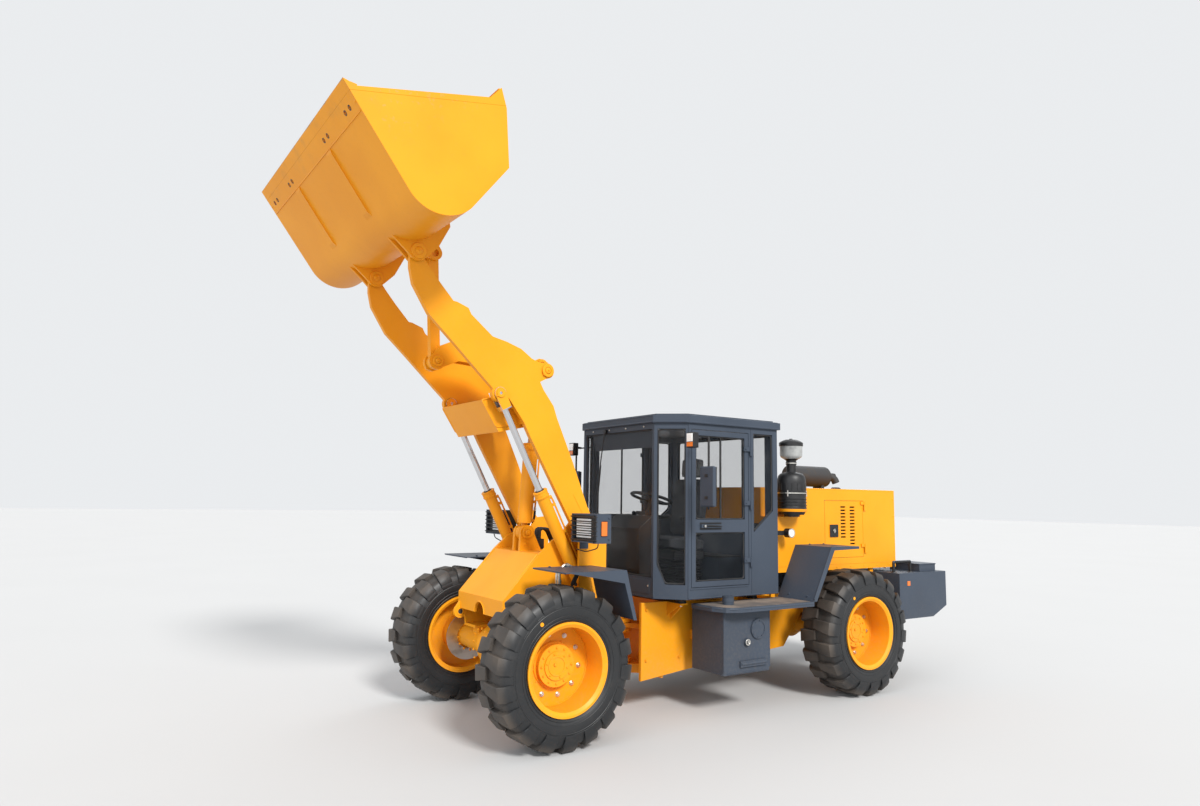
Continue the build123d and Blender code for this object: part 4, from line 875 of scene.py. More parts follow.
# ---------------------------------------------------------------- bucket and arms
@dataclass
class Bucket(Assembly):
    """Trim of the bucket, laid out with its floor level and then tilted about its pin."""

    body: str = "bucket"
    tilt: float = radians(53.3)
    floor: float = -0.158
    lip: float = 1.114
    half: float = 1.177
    pair_places: tuple[float, ...] = (-1.0, -0.5, 0.5, 1.0)
    pair_gap: float = 0.090
    arm_y: float = 0.4625

    def __post_init__(self) -> None:
        """Find the pin."""
        self.pin = self.machine.joints["tip"]

    def at(self, x: float, y: float, z: float) -> Vector:
        """A point of the level bucket, measured from its pin, in the tilted pose."""
        c, s = cos(self.tilt), sin(self.tilt)
        return self.pin + vec(x * c - z * s, y, x * s + z * c)

    def along(self, x: float, y: float, z: float) -> Vector:
        """A direction of the level bucket in the tilted pose."""
        return self.at(x, y, z) - self.pin

    def paint(self) -> None:
        """Worn paint on the carried-over shell."""
        worn = WornPaint("bucket_enamel", Finish.YELLOW.value.colour, Finish.YELLOW.value.deep, 0.45,
            pin=(self.pin.x, self.pin.z), tilt=self.tilt)
        mesh = self.machine.frame["nodes"]["bucket"].data
        mesh.materials.clear()
        mesh.materials.append(worn.material())

    def edge_holes(self) -> None:
        """Dark rings round the cutting edge's bolt holes, painted as the shade inside the holes."""
        # The dark casting rings are painted shade of the bolt holes' recesses.
        shade_rings = self.shape("edge_hole_shade_rings", Finish.CAST, 0.0)
        for pair in self.pair_places:
            for y in (pair - self.pair_gap / 2, pair + self.pair_gap / 2):
                shade_rings.ring(self.at(self.lip - 0.150, y, self.floor + 0.029), self.along(0, 0, 1), 0.0112,
                    0.021, 0.003, 24)
                shade_rings.ring(self.at(self.lip - 0.150, y, self.floor + 0.001), self.along(0, 0, -1), 0.0112,
                    0.019, 0.0022, 24)
        shade_rings.done()

    def welds(self) -> None:
        """Weld beads where the edge, strips and brackets meet the shell."""
        beads = self.shape("bucket_welds", Finish.YELLOW, bevel=0.0)
        seam = self.lip - 0.215
        beads.sweep([self.at(seam, -self.half + 0.02, self.floor - 0.001),
            self.at(seam, self.half - 0.02, self.floor - 0.001)], 0.005, sides=8)
        for y in (-0.48, -0.38, 0.38, 0.48):
            beads.sweep([self.at(0.37, y, self.floor - 0.001), self.at(0.87, y, self.floor - 0.001)], 0.004,
                sides=6)
        for side in SIDES:
            y = side * (self.half - 0.018)
            beads.sweep(rounded([self.at(1.05, y, self.floor + 0.016), self.at(0.36, y, self.floor + 0.018),
                self.at(0.15, y, -0.055), self.at(0.075, y, 0.18), self.at(0.19, y, 0.60),
                self.at(0.545, y, 0.82)], 0.09), 0.006, sides=8)
        beads.done()

    def side_cutters(self) -> None:
        """Doubled strip inside each side plate's front edge, with its bolts."""
        for side in SIDES:
            y = side * (self.half - 0.016)
            inward = vec(0, -side * 0.012, 0)
            strip = self.shape(f"side_cutter_{SIDES[side]}", Finish.YELLOW)
            low, high = vec(1.045, 0, -0.122), vec(0.660, 0, 0.735)
            back = vec(-0.075, 0, -0.035)
            corners = [low, high, high + back, low + back * 1.2]
            strip.panel([self.at(p.x, y, p.z) for p in corners], inward)
            for share in (0.14, 0.38, 0.62, 0.86):
                spot = low.lerp(high, share) + back * 0.5
                strip.bolt(self.at(spot.x, y, spot.z) + inward, (0, -side, 0), 0.012)
            strip.done()

    def pins(self) -> None:
        """Pin heads with lock bolts and nipples at the arm brackets and the link horns."""
        heads = self.shape("bucket_pin_heads", Finish.YELLOW, bevel=0.001)
        for side in SIDES:
            for y, out in ((self.arm_y + 0.0545, side), (self.arm_y - 0.0545, -side)):
                self.machine.pin_head(heads, self.at(0, side * y, 0), out, 0.058)
                heads.bolt(self.at(0.060, side * y, 0.075), (0, out, 0), 0.011)
        heads.done()
        nipples = self.shape("bucket_grease_nipples", Finish.ZINC, 0.0)
        for side in SIDES:
            nipples.rod(self.at(-0.074, side * self.arm_y, 0), self.at(-0.092, side * self.arm_y, 0), 0.006,
                0.004, 8)
        nipples.done()

    def build(self) -> None:
        """Make all the bucket's trim."""
        self.paint()
        self.edge_holes()
        self.welds()
        self.side_cutters()
        self.pins()


@dataclass
class LoaderArms(Assembly):
    """Pin heads, welds and doubler plates of the arms, rocker and link."""

    arm_y: float = 0.4625
    arm_half: float = 0.0225
    rocker_half: float = 0.068

    def __post_init__(self) -> None:
        """Read the pins' places, and the lift and tilt eyes from their rods."""
        joints = self.machine.joints
        self.pivot, self.rocker_pin = joints["lift"], joints["rocker_swing"]
        self.link_low = joints["link_swing"]
        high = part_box("lift_rod_left")[1]
        self.lift_eye = vec(high.x - 0.048, 0, high.z - 0.048)
        low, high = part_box("tilt_rod")
        self.tilt_eye = vec(low.x + 0.050, 0, high.z - 0.050)

    def pin_heads(self) -> None:
        """Heads on the outer face of each arm at the hump and the lift ears."""
        heads = Shape("arm_pin_heads", "boom", Finish.YELLOW, 0.001)
        for side in SIDES:
            face = side * (self.arm_y + self.arm_half)
            self.machine.pin_head(heads, (self.rocker_pin.x, face + side * 0.008, self.rocker_pin.z), side,
                0.052)
            heads.ring((self.pivot.x, face, self.pivot.z), (0, side, 0), 0.045, 0.088, 0.004)
            heads.ring((self.lift_eye.x, face, self.lift_eye.z), (0, side, 0), 0.036, 0.058, 0.003)
        heads.done()

    def welds(self) -> None:
        """Beads round the cross box, and rings at the rocker pin inside the arms."""
        beads = Shape("arm_welds", "boom", Finish.YELLOW, 0.0)
        inner = self.arm_y - self.arm_half
        base = vec(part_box("front_axle")[0].x + 0.25, 0, 0)
        ring = [(-0.084, 2.374), (0.097, 2.600), (0.420, 2.524), (0.287, 2.320)]
        for side in SIDES:
            y = side * 0.383
            beads.sweep(rounded([(base.x + x, y, z) for x, z in ring], 0.02, True), 0.005, True, 8)
            beads.ring((self.rocker_pin.x, side * (inner - 0.040), self.rocker_pin.z), (0, -side, 0), 0.034,
                0.050, 0.006)
        beads.done()

    def doublers(self) -> None:
        """Welded doubler plates on the arms' outer faces at the lift ears."""
        for side in SIDES:
            plate = Shape(f"arm_doubler_{SIDES[side]}", "boom", Finish.YELLOW, 0.002)
            face = side * (self.arm_y + self.arm_half)
            eye = self.pivot
            outline = []
            for i in range(9):
                turn = radians(205 + 230 * i / 8)
                outline.append((eye.x + 0.086 * cos(turn), face, eye.z + 0.086 * sin(turn)))
            outline += [(eye.x + 0.170, face, eye.z + 0.330), (eye.x + 0.020, face, eye.z + 0.220)]
            plate.panel(outline, (0, side * 0.003, 0))
            plate.done()

    def rocker(self) -> None:
        """Pin heads and rings on the rocker and link."""
        heads = Shape("rocker_pin_heads", "rocker", Finish.YELLOW, 0.001)
        for side in SIDES:
            self.machine.pin_head(heads, self.link_low + vec(0, side * (self.rocker_half + 0.010), 0), side,
                0.044)
            heads.ring(self.tilt_eye + vec(0, side * self.rocker_half, 0), (0, side, 0), 0.034, 0.054, 0.005)
            heads.ring(self.rocker_pin + vec(0, side * (self.rocker_half + 0.014), 0), (0, side, 0), 0.036,
                0.070, 0.004)
            heads.bolt(self.tilt_eye + vec(0.036, side * self.rocker_half, 0.040), (0, side, 0), 0.009)
        heads.done()
        link = Shape("link_trim", "link", Finish.YELLOW, 0.001)
        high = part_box("link")[1]
        for side in SIDES:
            face = side * 0.030
            link.ring((high.x - 0.050, face, high.z - 0.050), (0, side, 0), 0.030, 0.046, 0.003)
            link.ring((self.link_low.x, face, self.link_low.z), (0, side, 0), 0.034, 0.050, 0.003)
        link.done()

    def build(self) -> None:
        """Finish the nodes and make the trim."""
        self.machine.dress(Finish.YELLOW, "boom", "rocker", "link")
        self.pin_heads()
        self.welds()
        self.doublers()
        self.rocker()


@dataclass
class Cylinder:
    """Gland, ports, steel pipe and chrome of one hydraulic cylinder."""

    machine: Machine
    barrel: str
    rod: str
    swing: str
    slide: str
    barrel_r: float
    length: float
    rod_r: float
    pipe_turn: float = 0.0

    def __post_init__(self) -> None:
        """Find the base pin and the direction of the rod's stroke."""
        self.base = self.machine.joints[self.swing]
        self.out = next(Vector(j["axis"]) for j in self.machine.frame["joints"] if j["name"] == self.slide)
        self.out.normalize()
        self.side = vec(0, 1, 0)
        self.front = self.side.cross(self.out).normalized()

    def at(self, along: float, turn: float, radius: float) -> Vector:
        """A point by distance from the base pin, turn about the axis and radius."""
        return self.base + self.out * along + (self.front * cos(turn) + self.side * sin(turn)) * radius

    def build(self) -> None:
        """Finish both nodes and make the trim."""
        self.machine.dress(Finish.YELLOW, self.barrel)
        self.machine.dress(Finish.CHROME, self.rod)
        trim = Shape(f"{self.barrel}_trim", self.barrel, Finish.YELLOW, 0.001)
        gland = self.barrel_r + 0.007
        for along in (self.length - 0.052, self.length - 0.010):
            trim.ring(self.at(along, 0, 0), self.out, gland - 0.002, gland + 0.004, 0.006)
        for turn in turns(6):
            trim.rod(self.at(self.length - 0.030, turn, gland - 0.004),
                self.at(self.length - 0.030, turn, gland + 0.003), 0.007, sides=10)
        for along in (0.105, self.length - 0.085):
            trim.rod(self.at(along, self.pipe_turn, self.barrel_r - 0.006),
                self.at(along, self.pipe_turn, self.barrel_r + 0.026), 0.015, 0.013, 14)
        run = self.barrel_r + 0.024
        trim.sweep(rounded([self.at(self.length - 0.085, self.pipe_turn, run - 0.006),
            self.at(self.length - 0.110, self.pipe_turn, run + 0.003),
            self.at(0.19, self.pipe_turn, run + 0.003)], 0.02), 0.0075, sides=12)
        for share in (0.35, 0.62, 0.85):
            trim.box(self.at(self.length * share, self.pipe_turn, self.barrel_r + 0.012)
                - vec(0.016, 0.016, 0.012), self.at(self.length * share, self.pipe_turn,
                self.barrel_r + 0.012) + vec(0.016, 0.016, 0.012))
        trim.done()
        Shape(f"{self.barrel}_wiper", self.barrel, Finish.RUBBER, 0.0).ring(self.at(self.length, 0, 0),
            self.out, self.rod_r + 0.0005, self.rod_r + 0.010, 0.006).done()
        Shape(f"{self.barrel}_hose", self.barrel, Finish.RUBBER,
            0.0).sweep(rounded([self.at(0.19, self.pipe_turn, run + 0.003),
            self.at(0.13, self.pipe_turn, run + 0.005), self.at(0.085, self.pipe_turn + 0.35, run + 0.012),
            self.at(0.060, self.pipe_turn + 0.9, run + 0.010)], 0.03), 0.010, sides=12).done()
        Shape(f"{self.barrel}_hose_ends", self.barrel, Finish.ZINC,
            0.0006).rod(self.at(0.185, self.pipe_turn, run + 0.003),
            self.at(0.215, self.pipe_turn, run + 0.003), 0.0125, sides=6).done()


@dataclass
class Forks(Assembly):
    """Yellow forks over the rods' chromed bars."""


    def build(self) -> None:
        """Pin heads on the lift rods' forks and a collar where bar meets fork."""
        for side, word in SIDES.items():
            axis = next(Vector(j["axis"]) for j in self.machine.frame["joints"]
                if j["name"] == f"lift_stroke_{word}")
            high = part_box(f"lift_rod_{word}")[1]
            eye = vec(high.x - 0.048, side * 0.4625, high.z - 0.048)
            fork = Shape(f"lift_fork_{word}", f"lift_rod_{word}", Finish.YELLOW, 0.0015)
            neck = eye - axis * 0.135
            fork.rod(neck, neck + axis * 0.03, 0.036, 0.041, 28)
            for face in SIDES:
                y = face * (0.0225 + 0.008 + 0.014)
                spot = eye + vec(0, y, 0)
                fork.panel(self.cheek(spot, axis), (0, face * 0.002, 0))
                fork.ring(spot + vec(0, face * 0.007, 0), (0, face, 0), 0.012, 0.034, 0.004, 28)
                fork.bolt(spot + vec(0.028, face * 0.002, -0.022), (0, face, 0), 0.008)
            fork.done()

    def cheek(self, eye: Vector, axis: Vector) -> list[Vector]:
        """A rounded cheek outline from the eye back along the rod.

        Args:
            eye: Middle of the pin.
            axis: Direction from the rod out to the eye.

        Returns:
            The outline's corners in order.
        """
        across = vec(axis.z, 0, -axis.x)
        arc = []
        for i in range(11):
            turn = -pi / 2 + pi * i / 10
            arc.append(eye + axis * 0.046 * cos(turn) + across * 0.046 * sin(turn))
        return arc + [eye - axis * 0.126 + across * 0.040, eye - axis * 0.126 - across * 0.040]


# ---------------------------------------------------------------- front chassis
@dataclass
class FrontChassis(Assembly):
    """Pins, tilt ears, nose, hoses and axle ends of the front frame."""

    body: str = "front_frame"
    tower_face: float = 0.552
    deck_top: float = 1.338
    ear_face: float = 0.066
    lug_z: float = 0.820
    lug_inner: float = 0.365
    mouth_r: float = 0.090
    hose_y: float = 0.574
    hose_step: float = 0.034
    brake_y: float = 0.600
    valve_x: float = 1.035
    valve_places: tuple[float, ...] = (-0.155, -0.190, -0.225)

    def __post_init__(self) -> None:
        """Read the pins' places and the axle's centre."""
        joints = self.machine.joints
        self.pivot, self.tilt_base = joints["lift"], joints["tilt_swing"]
        self.lift_base = joints["lift_swing_left"]
        self.axle = joints["roll_front_left"]
        self.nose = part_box("front_frame")[1].x

    def tower_pins(self) -> None:
        """Pin heads outside the towers."""
        heads = self.shape("tower_pin_heads", Finish.YELLOW, bevel=0.001)
        for side in SIDES:
            face = side * (self.tower_face + 0.014)
            for at, radius in ((self.pivot, 0.054), (self.lift_base, 0.050)):
                self.machine.pin_head(heads, (at.x, face - side * 0.004, at.z), side, radius)
        heads.done()

    def tilt_ears(self) -> None:
        """Pin ring, bolts, beads and nipples of the tilt cylinder's ears."""
        ears = self.shape("tilt_ear_trim", Finish.YELLOW, bevel=0.001)
        for side in SIDES:
            spot = self.tilt_base + vec(0, side * (self.ear_face + 0.004), 0)
            self.machine.pin_head(ears, spot, side, 0.050)
            foot = vec(self.tilt_base.x, side * self.ear_face, self.tilt_base.z - 0.092)
            ears.bolt(foot + vec(0.020, 0, 0), (0, side, 0), 0.013)
            ears.sweep([vec(self.tilt_base.x - 0.135, side * (self.ear_face + 0.002), self.deck_top),
                vec(self.tilt_base.x + 0.062, side * (self.ear_face + 0.002), self.deck_top)], 0.007, sides=8)
        ears.done()
        bright = self.shape("tilt_grease_points", Finish.ZINC, 0.0)
        for side in SIDES:
            top = self.tilt_base + vec(-0.030, side * (self.ear_face - 0.014), 0.056)
            bright.rod(top, top + vec(-0.010, 0, 0.026), 0.009, 0.005, 10)
        bright.done()

    def nose_trim(self) -> None:
        """Recovery lugs, the half-round mouth's ring and weld beads at the nose."""
        trim = self.shape("nose_trim", Finish.YELLOW)
        mouth = []
        for i in range(17):
            turn = pi * i / 16
            mouth.append((self.nose + 0.001, self.mouth_r * cos(turn), 0.852 + self.mouth_r * sin(turn)))
        trim.sweep(mouth, 0.006, sides=8)
        for side in SIDES:
            y = side * 0.3925
            arc = [(0.055 * cos(radians(d)), 0.055 * sin(radians(d))) for d in range(-160, 51, 15)]
            trim.panel([(self.nose + a - 0.004, side * self.lug_inner, self.lug_z + b) for a, b in arc]
                + [(self.nose + 0.001, side * self.lug_inner, 0.905),
                (self.nose - 0.090, side * self.lug_inner, 0.905),
                (self.nose - 0.090, side * self.lug_inner, 0.850)], (0, side * 0.030, 0))
            for face, out in ((0.395, side), (self.lug_inner, -side)):
                trim.ring((self.nose - 0.004, side * face, self.lug_z), (0, out, 0), 0.021, 0.034, 0.004, 32)
            trim.sweep([(self.nose - 0.004, y - side * 0.014, 0.856),
                (self.nose - 0.004, y - side * 0.014, 0.980), (1.359, y - side * 0.014, 1.334)], 0.005,
                sides=6)
        trim.done()
        dark = self.shape("nose_lug_pins", Finish.CAST, 0.0)
        for side in SIDES:
            dark.rod((self.nose - 0.004, side * 0.3635, self.lug_z),
                (self.nose - 0.004, side * 0.3965, self.lug_z), 0.021)
        dark.done()

    def hoses(self) -> None:
        """Two bent steel hose ends outside each tower's foot, with hoses to the brake and the frame."""
        x, z = self.lift_base.x + 0.315, 1.235
        for side, word in SIDES.items():
            ends = self.shape(f"hose_elbows_{word}", Finish.ZINC, 0.0008)
            hose = self.shape(f"tower_hoses_{word}", Finish.RUBBER, 0.0)
            for step in (0.0, self.hose_step):
                y = side * (self.hose_y + step)
                line = rounded([(x + 0.05, y, z - 0.115), (x + 0.055, y, z - 0.020),
                    (x - 0.03 + step, y, z + 0.035), (x - 0.07 + step, y, z + 0.010)], 0.045)
                ends.sweep(line, 0.0125, sides=14)
                ends.rod(line[0] + vec(0, 0, -0.004), line[0] + vec(0, 0, 0.030), 0.0165, sides=6)
                ends.rod(line[-1], line[-1] + (line[-1] - line[-2]).normalized() * 0.026, 0.0165, sides=6)
                tail = line[-1] + (line[-1] - line[-2]).normalized() * 0.02
                hose.sweep(rounded([tail, tail + vec(-0.06, 0, -0.04), (1.135 + step, y, 1.120),
                    (1.095 + step, side * 0.540, 1.100)], 0.03), 0.014, sides=12)
                hose.sweep(rounded([line[0] + vec(0, 0, 0.002), line[0] + vec(0.0, 0, -0.10),
                    (1.320 + step, y, 0.800), (1.285 + step, side * self.brake_y, 0.645)], 0.06), 0.014,
                    sides=12)
            ends.done()
            hose.done()
        block = self.shape("deck_valve_block", Finish.CAST, 0.003)
        block.box((1.000, -0.135, self.deck_top), (1.115, -0.245, self.deck_top + 0.085))
        for y in self.valve_places:
            block.rod((self.valve_x, y, self.deck_top + 0.080), (self.valve_x, y, self.deck_top + 0.118),
                0.012, sides=6)
        block.done()
        runs = self.shape("deck_hoses", Finish.RUBBER, 0.0)
        for y in self.valve_places:
            runs.sweep(rounded([(self.valve_x, y, self.deck_top + 0.110),
                (self.valve_x, y, self.deck_top + 0.175), (0.930, y * 1.05, self.deck_top + 0.170),
                (0.850, y * 1.1, self.deck_top + 0.020)], 0.05), 0.012, sides=12)
        runs.done()

    def axle_ends(self) -> None:
        """Brake discs, calipers, flange bolts and the banjo's cover on each axle."""
        for end in ("front", "rear"):
            axle = f"{end}_axle"
            body = axle_body(self.machine, axle)
            centre = self.machine.joints[f"roll_{end}_left"]
            self.machine.dress(Finish.YELLOW, axle)
            disc = Shape(f"brake_discs_{end}", body, Finish.ZINC, 0.001)
            clamp = Shape(f"brake_calipers_{end}", body, Finish.CAST, 0.004)
            trim = Shape(f"axle_trim_{end}", body, Finish.YELLOW, 0.001)
            for side in SIDES:
                y = side * self.brake_y
                disc.lathe((centre.x, y, centre.z), (0, side, 0),
                    [(0, 0.106), (0.012, 0.106), (0.012, 0.205), (0, 0.205)], 56)
                clamp.box((centre.x - 0.235, y - 0.045, centre.z - 0.075),
                    (centre.x - 0.135, y + 0.045, centre.z + 0.075))
                for turn in turns(12):
                    trim.bolt((centre.x + 0.116 * cos(turn), side * 0.560, centre.z + 0.116 * sin(turn)),
                        (0, -side, 0), 0.009)
            for i in range(14):
                turn = tau * (i + 0.5) / 14
                trim.bolt((centre.x + 0.165, 0.150 * cos(turn), centre.z + 0.150 * sin(turn)), (1, 0, 0),
                    0.009)
            trim.rod((centre.x + 0.166, 0.03, centre.z - 0.075), (centre.x + 0.184, 0.03, centre.z - 0.075),
                0.016, sides=6)
            disc.done()
            clamp.done()
            trim.done()

    def build(self) -> None:
        """Finish the frame and make its trim."""
        self.machine.dress(Finish.YELLOW, "front_frame")
        self.tower_pins()
        self.tilt_ears()
        self.nose_trim()
        self.hoses()
        self.axle_ends()


def axle_body(machine: Machine, node: str) -> str:
    """The body that carries a node."""
    bodies = machine.frame["record"]["behaviour"]["bodies"]
    return next(body for body, nodes in bodies.items() if node in nodes)


@dataclass
class Headlights(Assembly):
    """Guards, lenses, markers and wiring of both lamp boxes."""

    body: str = "front_frame"
    guard_bars: int = 6
    rim: float = 0.012
    recess: float = 0.028

    def build(self) -> None:
        """Finish the boxes and fit both lamps."""
        self.machine.dress(Finish.GREY, "headlights")
        low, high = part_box("headlights")
        for side in SIDES:
            self.lamp(side, high.x, high.y - 0.360, high.y, high.z - 0.220, high.z, low.x)

    def lamp(self, side: int, front: float, inner: float, outer: float, low: float, top: float,
            back: float) -> None:
        """One lamp.

        Args:
            side: 1 left, -1 right.
            front: The box's front face.
            inner: Its side towards the tower.
            outer: Its far side.
            low: Its underside.
            top: Its upper face.
            back: The rearmost point of the lamp's bracket.
        """
        word = SIDES[side]
        floor = front - self.recess
        lens_in, lens_out = inner + 0.050, outer - 0.110
        self.shape(f"lamp_bezel_{word}", Finish.PLASTIC, 0.003).box((floor, side * (inner + self.rim + 0.001),
            low + self.rim + 0.001), (floor + 0.006, side * (outer - self.rim - 0.001),
            top - self.rim - 0.001)).done()
        lens = self.shape(f"lamp_lens_{word}", Finish.CLEAR, 0.002)
        rows = 4
        pitch = (top - low - 0.070) / rows
        for i in range(rows):
            z = low + 0.035 + pitch * i
            lens.box((floor + 0.005, side * lens_in, z + 0.002),
                (floor + 0.013, side * lens_out, z + pitch - 0.004))
        lens.done()
        wires = self.shape(f"lamp_guard_{word}", Finish.PLASTIC, 0.0)
        for i in range(self.guard_bars):
            z = low + 0.022 + (top - low - 0.044) * i / (self.guard_bars - 1)
            wires.sweep(rounded([(front - 0.030, side * (inner - 0.004), z),
                (front + 0.010, side * (inner - 0.002), z), (front + 0.010, side * (outer - 0.004), z),
                (front - 0.004, side * (outer - 0.003), z)], 0.012), 0.0048, sides=8)
        for y in (inner + 0.024, outer - 0.040):
            wires.sweep([(front + 0.003, side * y, low + 0.004), (front + 0.003, side * y, top - 0.004)],
                0.0045, sides=8)
        wires.done()
        self.shape(f"lamp_marker_{word}", Finish.AMBER, 0.004).box((front - 0.092, side * (outer - 0.002),
            low + 0.056), (front - 0.040, side * (outer + 0.008), top - 0.056)).done()
        self.shape(f"lamp_marker_rim_{word}", Finish.PLASTIC,
            0.0).sweep(rounded(upright(1, side * outer, front - 0.095, front - 0.037, low + 0.053,
            top - 0.053), 0.012, True), 0.0028, True, 6).done()
        shell = self.shape(f"lamp_shell_trim_{word}", Finish.GREY, 0.001)
        for z in (low + 0.03, top - 0.03):
            shell.bolt((back + 0.060, side * outer, z), (0, side, 0), 0.008)
        shell.done()
        self.shape(f"lamp_wire_{word}", Finish.RUBBER, 0.0).sweep(rounded([(front - 0.055,
            side * (outer - 0.060), low + 0.006), (front - 0.060, side * (outer - 0.075), low - 0.040),
            (front - 0.065, side * (inner + 0.110), low - 0.075),
            (front - 0.070, side * (inner - 0.028), low - 0.062)], 0.05, steps=8), 0.0045, sides=8).done()


@dataclass
class Fenders(Assembly):
    """Bolts and edge beads of the front and rear fenders."""


    def build(self) -> None:
        """Finish the plates and add bolts and beads."""
        self.machine.dress(Finish.GREY, "front_fenders", "rear_fenders")
        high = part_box("front_fenders")[1]
        trim = Shape("front_fender_trim", "front_frame", Finish.GREY, 0.001)
        for side in SIDES:
            for x in (high.x - 0.12, high.x - 0.30):
                trim.bolt((x, side * 0.640, high.z), (0, 0, 1), 0.010)
            trim.sweep([(high.x - 0.004, side * 0.60, high.z - 0.006),
                (high.x - 0.004, side * (high.y - 0.01), high.z - 0.006)], 0.006, sides=8)
        trim.done()
        low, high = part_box("rear_fenders")
        trim = Shape("rear_fender_trim", "rear_frame", Finish.GREY, 0.001)
        top_x = high.x - 0.241
        for side in SIDES:
            for x in (low.x + 0.055, low.x + 0.25):
                trim.bolt((x, side * 0.70, high.z), (0, 0, 1), 0.010)
            trim.sweep(rounded([(high.x - 0.004, side * (high.y - 0.002), low.z + 0.02),
                (top_x, side * (high.y - 0.002), high.z - 0.002),
                (low.x + 0.01, side * (high.y - 0.002), high.z - 0.002)], 0.02), 0.0045, sides=8)
            trim.bolt((high.x - 0.020, side * 0.76, low.z + 0.036), (0.85, 0, 0.5), 0.010)
            trim.bolt((high.x - 0.020, side * 0.98, low.z + 0.036), (0.85, 0, 0.5), 0.010)
        trim.done()


